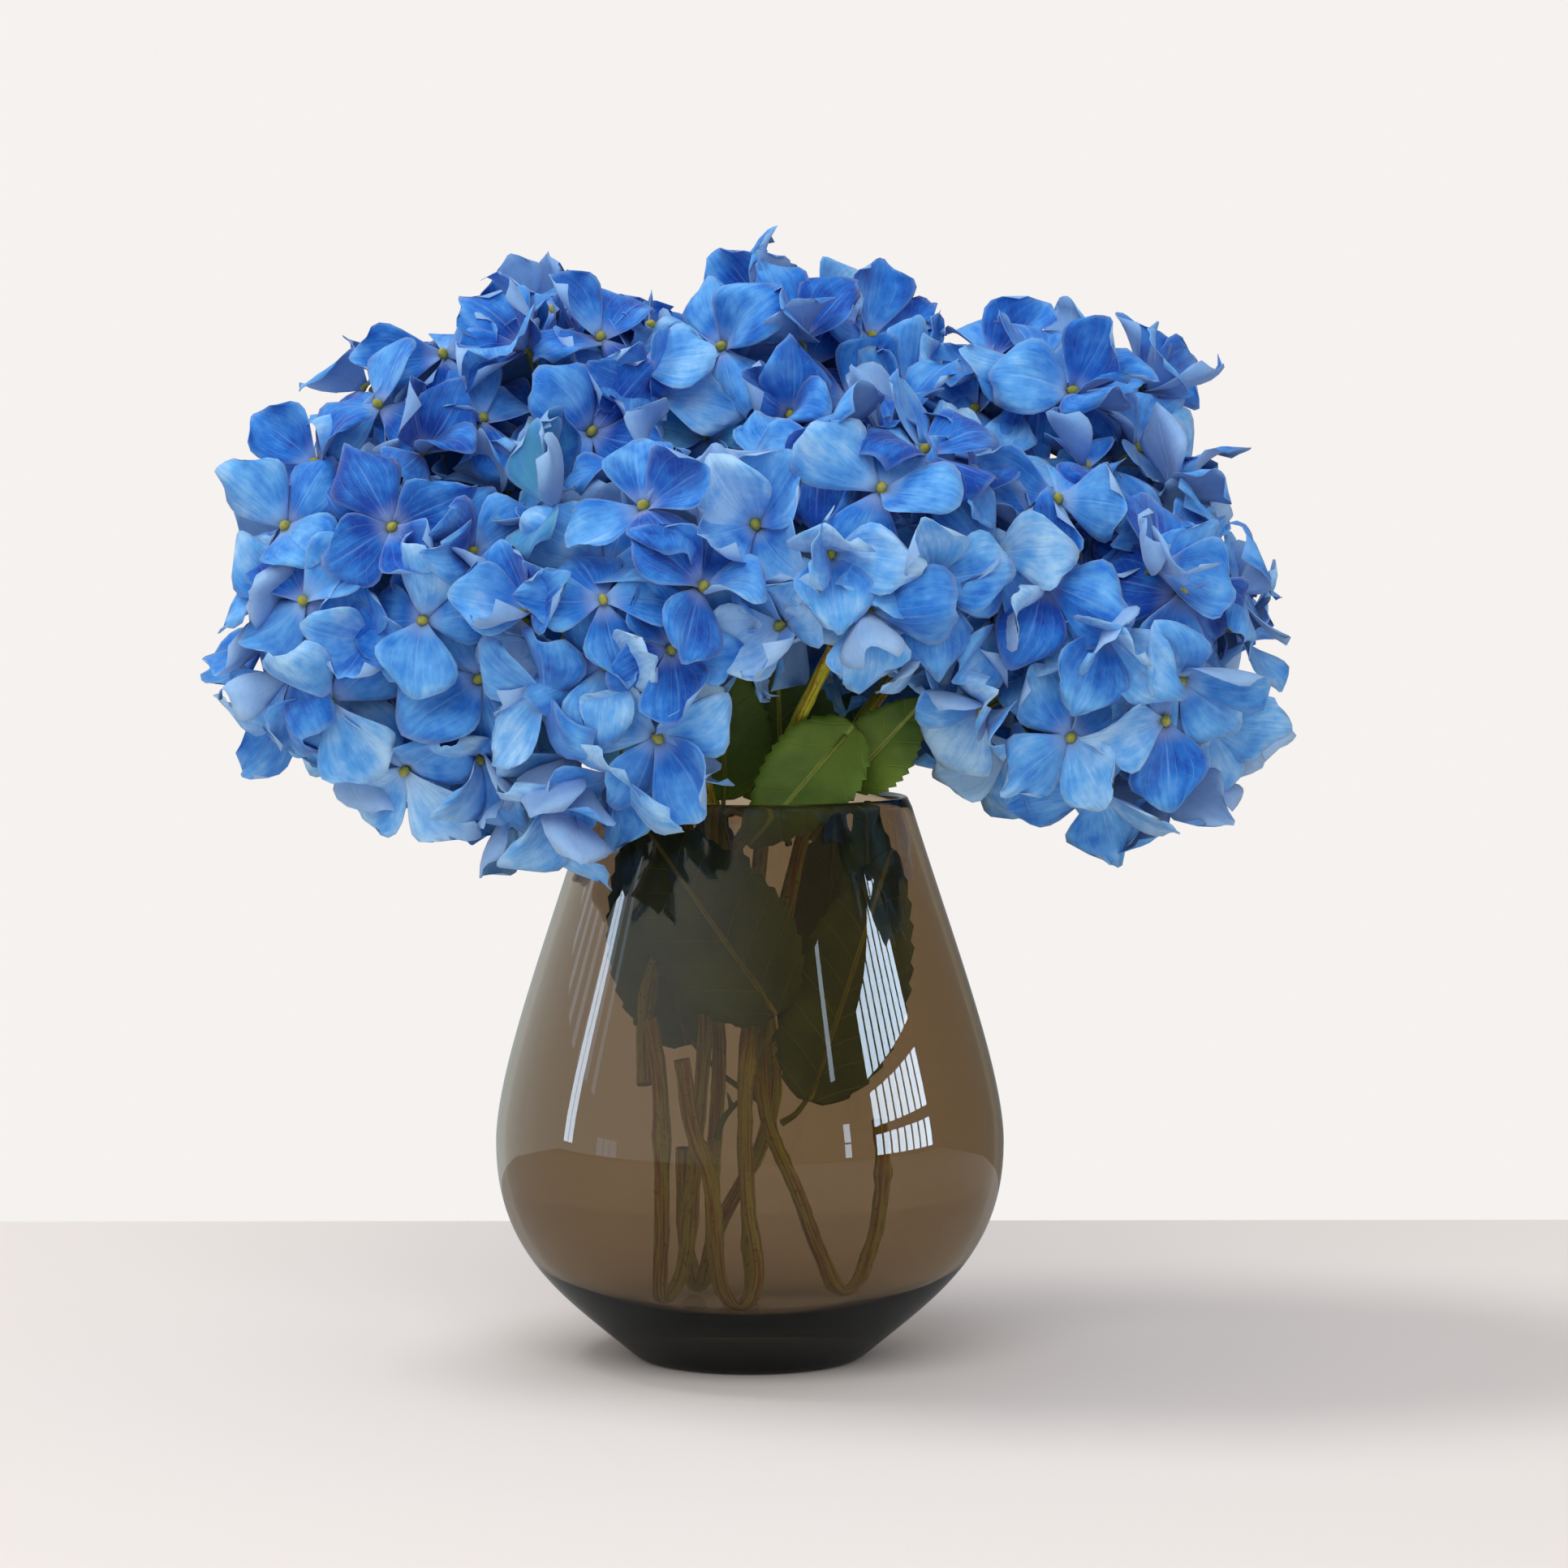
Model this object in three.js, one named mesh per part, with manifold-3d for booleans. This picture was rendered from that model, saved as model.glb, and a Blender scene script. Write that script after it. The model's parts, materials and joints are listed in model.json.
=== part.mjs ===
// Hydrangeas in a vase: a teardrop vase of smoke-brown glass that holds seven mophead blooms,
// each on its own stem, with serrated leaves in and above the mouth.
// Millimetres, +Z up. The origin is the centre of the vase's foot, on the surface it stands on.
import * as THREE from 'three';
import { mergeVertices } from 'three/addons/utils/BufferGeometryUtils.js';
import Module from 'manifold-3d';

const wasm = await Module();
wasm.setup();

// ---- Driving dimensions ----

// Vase
const VASE_HEIGHT = 195;
const RIM_RADIUS = 54.9;
const BELLY_RADIUS = 88;
const BELLY_HEIGHT = 75;
const FOOT_RADIUS = 36;
const GLASS_WALL = 3;
const FLOOR_THICKNESS = 12;
const BOWL_TOP = 40;

// Stems and leaves
const STEM_RADIUS = 3.2;
const PETIOLE_RADIUS = 1.3;
const LEAF_THICKNESS = 0.9;
const SHOOT_RADIUS = 1.4;

// Blooms: each centre is measured from the middle of the vase's mouth
const FLORETS_PER_BLOOM = 40;
const FLORET_DEPTH = 9;
const BLOOMS = {
  left: { centre: [-112, -5, 67], radius: 76 },
  top_left: { centre: [-64, 42, 110], radius: 80 },
  top_back: { centre: [12, 52, 105], radius: 81 },
  front_left: { centre: [-40, -58, 64], radius: 60 },
  front_right: { centre: [40, -57, 80], radius: 58 },
  top_right: { centre: [90, 38, 95], radius: 78 },
  right: { centre: [121, -15, 57], radius: 74 },
};

// Gap kept between pieces that meet
const CLEARANCE = 0.3;

// ---- Colours ----

const GLASS = new THREE.MeshStandardMaterial({ color: 0x6e6152, roughness: 0.05, metalness: 0 });
const STEM_GREEN = new THREE.MeshStandardMaterial({ color: 0x6b6a2c, roughness: 0.6, metalness: 0 });
const LEAF_GREEN = new THREE.MeshStandardMaterial({ color: 0x3f5f22, roughness: 0.55, metalness: 0 });
const PETAL_BLUE = new THREE.MeshStandardMaterial({ color: 0x4f86e0, roughness: 0.7, metalness: 0 });

// ---- Solids ----

// Keeps only the positions of a geometry and welds the corners that its faces share.
function welded(geometry) {
  const bare = new THREE.BufferGeometry();
  bare.setAttribute('position', geometry.getAttribute('position').clone());
  if (geometry.index) {
    bare.setIndex(geometry.index.clone());
  }
  return mergeVertices(bare, 1e-4);
}

function toSolid(geometry) {
  const closed = welded(geometry);
  return new wasm.Manifold(new wasm.Mesh({
    numProp: 3,
    vertProperties: new Float32Array(closed.getAttribute('position').array),
    triVerts: new Uint32Array(closed.index.array),
  }));
}

function toGeometry(solid) {
  const mesh = solid.getMesh();
  const geometry = new THREE.BufferGeometry();
  geometry.setAttribute('position', new THREE.BufferAttribute(mesh.vertProperties, 3));
  geometry.setIndex(new THREE.BufferAttribute(mesh.triVerts, 1));
  geometry.computeVertexNormals();
  return geometry;
}

// A round bar along a smooth curve.
function bar(curve, radius, sides, steps) {
  const section = new THREE.Shape();
  section.absarc(0, 0, radius, 0, 2 * Math.PI);
  return new THREE.ExtrudeGeometry(section, { curveSegments: sides / 2, steps, extrudePath: curve });
}

// A closed thin plate through rows of points. Each row has its top points from left to right and
// then its bottom points from right to left.
function plate(rows) {
  const across = rows[0].length / 2;
  const ring = rows[0].length;
  const positions = rows.flatMap((row) => row.flatMap((point) => point.toArray()));
  const faces = [];
  for (let i = 0; i < rows.length - 1; i += 1) {
    for (let j = 0; j < ring; j += 1) {
      const a = i * ring + j;
      const b = i * ring + ((j + 1) % ring);
      faces.push(a, b, a + ring, b, b + ring, a + ring);
    }
  }
  const last = (rows.length - 1) * ring;
  for (let j = 0; j < across - 1; j += 1) {
    const k = ring - 1 - j;
    faces.push(j, k, j + 1, j + 1, k, k - 1);
    faces.push(last + j, last + j + 1, last + k, last + j + 1, last + k - 1, last + k);
  }
  const geometry = new THREE.BufferGeometry();
  geometry.setAttribute('position', new THREE.Float32BufferAttribute(positions, 3));
  geometry.setIndex(faces);
  return geometry;
}

// ---- Vase ----

const FOOT_CORNER = new THREE.Vector2(FOOT_RADIUS + 6, 2.7);
const SIDE_SLOPE = THREE.MathUtils.degToRad(40.5);
const RIM_LEAN = 0.31;

// The outside from the foot's flat, round its corner, out to the belly and in to the rim.
function outerProfile() {
  const lower = (BELLY_HEIGHT - FOOT_CORNER.y) * 0.42;
  const upper = VASE_HEIGHT - BELLY_HEIGHT;
  const corner = new THREE.QuadraticBezierCurve(
    new THREE.Vector2(FOOT_RADIUS, 0),
    new THREE.Vector2(FOOT_RADIUS + 3, 0.1),
    FOOT_CORNER,
  );
  const upSide = new THREE.Vector2(Math.cos(SIDE_SLOPE), Math.sin(SIDE_SLOPE)).multiplyScalar(lower);
  const bowl = new THREE.CubicBezierCurve(
    FOOT_CORNER,
    upSide.add(FOOT_CORNER),
    new THREE.Vector2(BELLY_RADIUS, BELLY_HEIGHT - lower * 1.25),
    new THREE.Vector2(BELLY_RADIUS, BELLY_HEIGHT),
  );
  const shoulder = new THREE.CubicBezierCurve(
    new THREE.Vector2(BELLY_RADIUS, BELLY_HEIGHT),
    new THREE.Vector2(BELLY_RADIUS, BELLY_HEIGHT + upper * 0.21),
    new THREE.Vector2(RIM_RADIUS + upper * 0.4 * RIM_LEAN, VASE_HEIGHT - upper * 0.4),
    new THREE.Vector2(RIM_RADIUS, VASE_HEIGHT),
  );
  return [...corner.getPoints(2), ...bowl.getPoints(6).slice(1), ...shoulder.getPoints(5).slice(1)];
}

// The inside: the outside moved in by the wall down to the bowl's top, then a rounded bowl that
// thickens to the floor at the axis.
function innerProfile(outer) {
  const wall = [];
  outer.forEach((point, i) => {
    const before = outer[Math.max(i - 1, 0)];
    const after = outer[Math.min(i + 1, outer.length - 1)];
    const along = after.clone().sub(before).normalize();
    const moved = new THREE.Vector2(point.x - along.y * GLASS_WALL, point.y + along.x * GLASS_WALL);
    if (moved.y > BOWL_TOP) {
      wall.push(moved);
    }
  });
  wall[wall.length - 1].y = VASE_HEIGHT;
  const top = wall[0];
  const down = top.clone().sub(wall[1]).normalize().multiplyScalar((top.y - FLOOR_THICKNESS) * 0.9);
  const bowl = new THREE.CubicBezierCurve(
    new THREE.Vector2(0, FLOOR_THICKNESS),
    new THREE.Vector2(FOOT_RADIUS, FLOOR_THICKNESS),
    new THREE.Vector2(top.x + down.x, top.y + down.y),
    top,
  );
  return [...bowl.getPoints(5), ...wall.slice(1)];
}

const OUTER = outerProfile();
const INNER = innerProfile(OUTER);

function vaseGeometry() {
  const profile = [new THREE.Vector2(0, 0), ...OUTER, ...INNER.slice().reverse()];
  return new THREE.LatheGeometry(profile, 40).rotateX(Math.PI / 2);
}

// Where a profile crosses one of its two coordinates, read from the other.
function readProfile(profile, from, to, value) {
  const i = profile.findIndex((point) => point[from] >= value);
  if (i <= 0) {
    return profile[i < 0 ? profile.length - 1 : 0][to];
  }
  const share = (value - profile[i - 1][from]) / (profile[i][from] - profile[i - 1][from]);
  return THREE.MathUtils.lerp(profile[i - 1][to], profile[i][to], share);
}

// ---- Places ----

// A point inside the vase: shares of the inside radius at that height, and a share of the height
// from the floor to the rim.
function inVase(shareX, shareY, share) {
  const z = THREE.MathUtils.lerp(FLOOR_THICKNESS, VASE_HEIGHT, share);
  const radius = readProfile(INNER, 'y', 'x', z);
  return new THREE.Vector3(shareX * radius, shareY * radius, z);
}

// The middle of a stem that rests on the vase's floor, at shares of the foot's radius.
function onFloor(shareX, shareY) {
  const x = shareX * FOOT_RADIUS;
  const y = shareY * FOOT_RADIUS;
  const floor = readProfile(INNER, 'x', 'y', Math.hypot(x, y) + STEM_RADIUS);
  return new THREE.Vector3(x, y, floor + STEM_RADIUS + CLEARANCE);
}

// A point above the mouth: shares of the rim's radius, and a height over the rim.
function overRim(shareX, shareY, height) {
  return new THREE.Vector3(shareX * RIM_RADIUS, shareY * RIM_RADIUS, VASE_HEIGHT + height);
}

function bloomCentre(name) {
  const [x, y, height] = BLOOMS[name].centre;
  return new THREE.Vector3(x, y, VASE_HEIGHT + height);
}

// ---- Stems ----

// Every route starts at the stem's cut end and climbs to the mouth. The stem then goes on to a seat
// inside its own bloom.
const STEM_ROUTES = {
  front_left: [
    inVase(-0.45, -0.29, 0.59),
    inVase(-0.38, -0.3, 0.48),
    inVase(-0.37, -0.3, 0.22),
    onFloor(-0.84, -0.62),
    inVase(-0.33, -0.2, 0.11),
    inVase(-0.22, -0.15, 0.34),
    inVase(-0.2, -0.18, 0.6),
    inVase(-0.27, -0.35, 1),
  ],
  front_right: [
    inVase(-0.29, -0.43, 0.52),
    inVase(-0.23, -0.42, 0.39),
    inVase(-0.16, -0.43, 0.3),
    inVase(-0.14, -0.54, 0.1),
    onFloor(-0.1, -0.98),
    inVase(0.03, -0.5, 0.11),
    inVase(-0.01, -0.4, 0.25),
    inVase(-0.02, -0.36, 0.44),
    inVase(0.01, -0.34, 0.59),
    inVase(0.03, -0.3, 0.76),
    inVase(0.12, -0.27, 1),
  ],
  right: [
    inVase(0.53, -0.1, 0.39),
    inVase(0.54, -0.1, 0.33),
    inVase(0.55, -0.1, 0.235),
    inVase(0.56, -0.12, 0.14),
    onFloor(0.92, -0.33).add(new THREE.Vector3(0, 0, 3)),
    inVase(0.32, -0.2, 0.145),
    inVase(0.19, -0.22, 0.265),
    inVase(0.07, -0.24, 0.4),
    inVase(0.05, -0.25, 0.54),
    inVase(0.18, -0.23, 0.76),
    inVase(0.46, -0.19, 1),
  ],
  top_left: [
    inVase(-0.28, 0.34, 0.31),
    inVase(-0.32, 0.41, 0.12),
    onFloor(-0.52, 0.61),
    inVase(-0.15, 0.21, 0.16),
    inVase(0.07, 0.17, 0.355),
    inVase(0.1, 0.2, 0.51),
    inVase(-0.04, 0.26, 0.75),
    inVase(-0.27, 0.35, 1),
  ],
  left: [
    inVase(-0.22, -0.1, 0.012),
    inVase(-0.17, -0.07, 0.07),
    inVase(-0.155, -0.05, 0.27),
    inVase(-0.14, -0.05, 0.37),
    inVase(-0.14, -0.05, 0.55),
    inVase(-0.27, -0.03, 0.76),
    inVase(-0.5, 0, 1),
  ],
  top_back: [
    inVase(-0.44, -0.17, 0.46),
    inVase(-0.47, -0.1, 0.56),
    inVase(-0.45, 0.2, 0.69),
    inVase(-0.19, 0.4, 0.84),
    inVase(0.12, 0.5, 1),
  ],
  top_right: [
    inVase(0.02, 0.13, 0.012),
    inVase(0.01, 0.09, 0.07),
    inVase(-0.01, 0.07, 0.22),
    inVase(-0.02, 0.08, 0.4),
    inVase(-0.01, 0.07, 0.54),
    inVase(0.16, 0.14, 0.75),
    inVase(0.46, 0.27, 1),
  ],
};

// How far the seat lies from the bloom's centre, as a share of the way to the mouth.
const SEAT_SHARE = 0.34;
const STEM_SIDES = 8;
const STEM_STEPS = 30;

function stemCurve(name) {
  const route = STEM_ROUTES[name];
  const mouth = route[route.length - 1];
  const seat = bloomCentre(name).lerp(mouth, SEAT_SHARE);
  const bend = bloomCentre(name).lerp(mouth, 0.72);
  bend.z += 3;
  return new THREE.CatmullRomCurve3([...route, bend, seat], false, 'centripetal');
}

// Where a stem last climbs past a height, as a share of its length from the cut end.
function shareAtHeight(curve, height) {
  let share = 1;
  while (share > 0 && curve.getPointAt(share).z > height) {
    share = Math.max(0, share - 0.005);
  }
  return share;
}

function stemGeometry(name, grow) {
  return bar(stemCurve(name), STEM_RADIUS + grow, STEM_SIDES, STEM_STEPS);
}

// ---- Leaves ----

// Each leaf grows from a stem, out of the side that the stem turns to it at the height of from,
// and lies from its base to its tip. facing is the way the top of the blade looks.
const LEAVES = {
  front_left: {
    stem: 'front_right', from: inVase(0, 0, 0.53), base: inVase(0.13, -0.48, 0.6),
    tip: inVase(-0.7, -0.55, 0.97), width: 48, facing: [0, -1, 0], arch: 4,
  },
  back_left: {
    stem: 'top_left', from: inVase(0, 0, 0.41), base: inVase(-0.28, 0.38, 0.5),
    tip: inVase(-0.75, 0.52, 0.97), width: 42, facing: [0, -1, 0.1], arch: -4,
  },
  front_right: {
    stem: 'right', from: inVase(0, 0, 0.39), base: inVase(0.24, -0.31, 0.43),
    tip: inVase(0.84, -0.36, 0.91), width: 42, facing: [0.1, -1, 0], arch: 3,
  },
  right_edge: {
    stem: 'top_right', from: inVase(0, 0, 0.53), base: inVase(0.55, 0.16, 0.6),
    tip: inVase(0.78, 0.27, 0.99), width: 27, facing: [0.2, -1, 0], arch: 2,
  },
  mouth_front: {
    stem: 'front_right', from: overRim(0, 0, 6), base: overRim(0.44, -0.47, 18),
    tip: inVase(0.2, -0.52, 0.85), width: 0.58 * RIM_RADIUS, facing: [0, -1, 0.1], arch: 3,
  },
  mouth_right: {
    stem: 'right', from: inVase(0, 0, 0.93), base: overRim(0.6, -0.38, 3),
    tip: overRim(1.14, -0.42, 31), width: 0.42 * RIM_RADIUS, facing: [0, -1, 0.2], arch: 3,
  },
  mouth_centre: {
    stem: 'top_right', from: inVase(0, 0, 0.9), base: inVase(0.17, 0.1, 0.98),
    tip: overRim(0.1, -0.04, 46), width: 0.58 * RIM_RADIUS, facing: [0, -1, 0.2], arch: 2,
  },
  mouth_left: {
    stem: 'front_left', from: inVase(0, 0, 0.86), base: inVase(-0.17, -0.1, 0.99),
    tip: overRim(-0.15, -0.2, 47), width: 0.4 * RIM_RADIUS, facing: [0.2, -1, 0], arch: 2,
  },
  rim_left: {
    stem: 'left', from: inVase(0, 0, 0.91), base: inVase(-0.6, -0.24, 0.96),
    tip: overRim(-0.78, -0.4, 28), width: 0.35 * RIM_RADIUS, facing: [-0.2, -1, 0.2], arch: 2,
  },
  back: {
    stem: 'top_left', from: inVase(0, 0, 0.53), base: inVase(-0.15, 0.54, 0.57),
    tip: inVase(-0.26, 0.71, 0.96), width: 38, facing: [0, 1, 0], arch: 3,
  },
  back_right: {
    stem: 'top_left', from: inVase(0, 0, 0.47), base: inVase(0.31, 0.42, 0.56),
    tip: inVase(0.57, 0.61, 0.96), width: 36, facing: [0.3, 1, 0], arch: 3,
  },
  mouth_back_left: {
    stem: 'top_left', from: inVase(0, 0, 0.9), base: inVase(-0.44, 0.56, 0.99),
    tip: overRim(-0.64, 1.08, 34), width: 0.55 * RIM_RADIUS, facing: [0, -0.7, 0.7], arch: 5,
  },
  mouth_back_right: {
    stem: 'top_right', from: inVase(0, 0, 0.9), base: inVase(0.5, 0.57, 0.99),
    tip: overRim(0.82, 1.03, 35), width: 0.55 * RIM_RADIUS, facing: [0, -0.7, 0.7], arch: 5,
  },
};

const LEAF_ROWS = 11;
const TOOTH_DEPTH = 0.05;
const FOLD = 0.16;

// Half of the blade's width along its length, as a share of the widest half: full below the
// middle and drawn to a point at the tip.
function bladeOutline(share) {
  return Math.sin(Math.PI * share ** 0.72) ** 0.75;
}

// The blade's length, and the directions across it and out of its top face.
function leafAxes(leaf) {
  const along = leaf.tip.clone().sub(leaf.base);
  const side = along.clone().cross(new THREE.Vector3(...leaf.facing)).normalize();
  const up = side.clone().cross(along).normalize();
  return { along, side, up };
}

// A point of the midrib, which bows out of the straight line from base to tip.
function midrib(leaf, share) {
  const { along, up } = leafAxes(leaf);
  const point = leaf.base.clone().addScaledVector(along, share);
  return point.addScaledVector(up, leaf.arch * 4 * share * (1 - share));
}

function bladeGeometry(leaf, grow) {
  const { along, side, up } = leafAxes(leaf);
  const half = LEAF_THICKNESS / 2 + grow;
  const rows = [];
  for (let i = 0; i <= LEAF_ROWS; i += 1) {
    const share = 0.02 + (0.96 * i) / LEAF_ROWS;
    const tooth = 1 + TOOTH_DEPTH * (i % 2 ? 1 : -1);
    const reach = (leaf.width / 2) * bladeOutline(share) * tooth + grow;
    const middle = midrib(leaf, share);
    const edge = (way) => middle.clone().addScaledVector(side, way * reach).addScaledVector(up, FOLD * reach);
    const points = [edge(-1), middle, edge(1)];
    const top = points.map((point) => point.clone().addScaledVector(up, half));
    const bottom = points.map((point) => point.clone().addScaledVector(up, -half));
    rows.push([...top, ...bottom.reverse()]);
  }
  return plate(rows);
}

// The stalk of a leaf runs from the side of its stem to a little way up the blade.
function petioleGeometry(leaf, grow) {
  const curve = stemCurve(leaf.stem);
  const at = shareAtHeight(curve, leaf.from.z);
  const from = curve.getPointAt(at);
  const away = leaf.base.clone().sub(from).projectOnPlane(curve.getTangentAt(at)).normalize();
  const start = from.addScaledVector(away, STEM_RADIUS + CLEARANCE + PETIOLE_RADIUS);
  const inBlade = midrib(leaf, 0.1);
  const middle = start.clone().lerp(midrib(leaf, 0), 0.55);
  return bar(new THREE.CatmullRomCurve3([start, middle, inBlade]), PETIOLE_RADIUS + grow, 6, 4);
}

function leafSolid(name, grow) {
  const leaf = LEAVES[name];
  return toSolid(bladeGeometry(leaf, grow)).add(toSolid(petioleGeometry(leaf, grow)));
}

// ---- Side shoot ----

// A thin green shoot that starts beside the middle stem and rises to the right.
function sideShootGeometry() {
  const curve = stemCurve('left');
  const from = curve.getPointAt(shareAtHeight(curve, inVase(0, 0, 0.36).z));
  const start = from.clone().add(new THREE.Vector3(0.6, -(STEM_RADIUS + CLEARANCE + SHOOT_RADIUS), 0));
  const bend = start.clone().add(new THREE.Vector3(2.5, -2, 7));
  const end = start.clone().add(new THREE.Vector3(9.5, -4, 15));
  return bar(new THREE.CatmullRomCurve3([start, bend, end]), SHOOT_RADIUS, 6, 6);
}

// ---- Blooms ----

// Evenly spread directions, one for each floret of a bloom.
function floretDirections() {
  const turn = Math.PI * (3 - Math.sqrt(5));
  const directions = [];
  for (let i = 0; i < FLORETS_PER_BLOOM; i += 1) {
    const z = 1 - (2 * (i + 0.5)) / FLORETS_PER_BLOOM;
    const flat = Math.sqrt(1 - z * z);
    directions.push(new THREE.Vector3(flat * Math.cos(i * turn), flat * Math.sin(i * turn), z));
  }
  return directions;
}

const FLORET_DIRECTIONS = floretDirections();
const FLORET_ANGLE = Math.sqrt(4 / FLORETS_PER_BLOOM);

// How far the surface of a bloom lies below its full radius: nothing at the middle of a floret,
// and the floret's depth in the valleys between florets.
function valley(direction) {
  const nearest = Math.max(...FLORET_DIRECTIONS.map((floret) => floret.dot(direction)));
  const angle = Math.acos(Math.min(nearest, 1));
  return FLORET_DEPTH * Math.min(1, (angle / FLORET_ANGLE) ** 2);
}

// A bloom ends halfway to each neighbour, where their spheres would meet, and above the rim.
function bloomLimits(name) {
  const centre = bloomCentre(name);
  const { radius } = BLOOMS[name];
  const limits = [];
  Object.keys(BLOOMS).filter((other) => other !== name).forEach((other) => {
    const way = bloomCentre(other).sub(centre);
    const distance = way.length();
    const reach = (distance ** 2 + radius ** 2 - BLOOMS[other].radius ** 2) / (2 * distance);
    limits.push({ normal: way.normalize(), reach: reach - CLEARANCE / 2 });
  });
  const outward = new THREE.Vector3(centre.x, centre.y, 0).normalize();
  const rimPoint = outward.clone().multiplyScalar(RIM_RADIUS + CLEARANCE);
  rimPoint.z = VASE_HEIGHT + CLEARANCE;
  const toRim = rimPoint.sub(centre);
  if (centre.clone().setZ(0).length() < RIM_RADIUS) {
    toRim.set(0, 0, toRim.z);
  }
  limits.push({ normal: toRim.clone().normalize(), reach: toRim.length() });
  return limits;
}

function bloomSolid(name) {
  const geometry = welded(new THREE.IcosahedronGeometry(1, 5));
  const points = geometry.getAttribute('position');
  const centre = bloomCentre(name);
  const limits = bloomLimits(name);
  const direction = new THREE.Vector3();
  for (let i = 0; i < points.count; i += 1) {
    direction.fromBufferAttribute(points, i).normalize();
    let reach = BLOOMS[name].radius - valley(direction);
    limits.forEach((limit) => {
      const facing = direction.dot(limit.normal);
      if (facing * reach > limit.reach) {
        reach = limit.reach / facing;
      }
    });
    const point = direction.multiplyScalar(reach).add(centre);
    points.setXYZ(i, point.x, point.y, point.z);
  }
  return toSolid(geometry);
}

// ---- Assembly ----

const hydrangeas = new THREE.Group();

function addPiece(name, geometry, material) {
  const mesh = new THREE.Mesh(geometry, material);
  mesh.name = name;
  hydrangeas.add(mesh);
}

addPiece('vase', vaseGeometry(), GLASS);

Object.keys(STEM_ROUTES).forEach((name) => {
  addPiece(`stem_${name}`, stemGeometry(name, 0), STEM_GREEN);
});

Object.keys(LEAVES).forEach((name) => {
  addPiece(`leaf_${name}`, toGeometry(leafSolid(name, 0)), LEAF_GREEN);
});

addPiece('side_shoot', sideShootGeometry(), STEM_GREEN);

// Stems and leaves that pass through a bloom lie in channels, one clearance wider than they are.
const channels = [
  ...Object.keys(STEM_ROUTES).map((name) => toSolid(stemGeometry(name, CLEARANCE))),
  ...Object.keys(LEAVES).map((name) => leafSolid(name, CLEARANCE)),
];
Object.keys(BLOOMS).forEach((name) => {
  const cut = channels.reduce((solid, channel) => solid.subtract(channel), bloomSolid(name));
  addPiece(`bloom_${name}`, toGeometry(cut), PETAL_BLUE);
});

export default hydrangeas;
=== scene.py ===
import json
import math
import random

import bpy
from mathutils import Matrix, Vector

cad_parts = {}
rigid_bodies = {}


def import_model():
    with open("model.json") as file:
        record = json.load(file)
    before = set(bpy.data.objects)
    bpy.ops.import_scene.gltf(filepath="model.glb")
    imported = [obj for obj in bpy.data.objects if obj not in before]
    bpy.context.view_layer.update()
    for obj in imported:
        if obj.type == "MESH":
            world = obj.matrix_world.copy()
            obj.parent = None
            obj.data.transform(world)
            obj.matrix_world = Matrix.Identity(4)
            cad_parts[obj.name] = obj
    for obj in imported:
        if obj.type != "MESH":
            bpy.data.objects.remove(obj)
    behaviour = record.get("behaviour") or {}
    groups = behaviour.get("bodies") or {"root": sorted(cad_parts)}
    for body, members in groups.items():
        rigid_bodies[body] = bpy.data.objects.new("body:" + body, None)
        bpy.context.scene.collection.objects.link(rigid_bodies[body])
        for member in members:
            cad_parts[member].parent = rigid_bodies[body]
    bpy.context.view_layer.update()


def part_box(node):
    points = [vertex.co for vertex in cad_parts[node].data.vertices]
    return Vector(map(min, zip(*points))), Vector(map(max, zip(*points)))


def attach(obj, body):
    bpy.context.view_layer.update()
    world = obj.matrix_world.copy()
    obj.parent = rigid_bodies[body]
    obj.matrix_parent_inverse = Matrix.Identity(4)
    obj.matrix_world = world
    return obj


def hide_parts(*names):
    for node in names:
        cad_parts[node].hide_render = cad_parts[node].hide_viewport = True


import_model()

# --------------------
# The studio: a pale table top before a pale wall, a soft lamp high on the left and a larger one
# in front, and tall windows that only reflections show. None of it is part of the object.

VASE_LOW, VASE_HIGH = (Vector(corner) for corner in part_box("vase"))
EYE = Vector((0.0, -1.557, 0.287))
AIM = Vector((0.0118, 0.0, 0.199))
LENS = 103.6
WALL_COLOUR = (0.914, 0.888, 0.871, 1)
ROOM_COLOUR = (0.56, 0.553, 0.55, 1)
DIM_LEFT = (0.80, 0.88, 0.88, 1)
DIM_RIGHT = (0.04, 0.04, 0.04, 1)
TABLE_COLOUR = (0.82, 0.778, 0.760, 1)
TABLE_REFLECTED = (0.34, 0.34, 0.34, 1)
TABLE_PAST_GLASS = (0.80, 0.76, 0.735, 1)
TABLE_BACK = 0.305
TABLE_REACH = 4
WINDOW_DISTANCE = 2.2
DAYLIGHT = (0.66, 0.82, 1.0, 1)


def node(tree, kind, inputs=(), out=0, **settings):
    """Adds one node, a shader node unless kind says which: its settings first, then the values
    or links of its sockets."""
    made = tree.nodes.new(kind if "Node" in kind else "ShaderNode" + kind)
    for key, value in settings.items():
        if key == "stops":
            ramp = made.color_ramp
            while len(ramp.elements) < len(value):
                ramp.elements.new(0.5)
            for element, (place, colour) in zip(ramp.elements, value):
                element.position = place
                element.color = colour
        else:
            setattr(made, key, value)
    for key, value in inputs.items() if isinstance(inputs, dict) else enumerate(inputs):
        if isinstance(value, Field):
            tree.links.new(value.socket, made.inputs[key])
        elif value is not None:
            made.inputs[key].default_value = value
    return Field(tree, made.outputs[out]) if made.outputs else None


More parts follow.
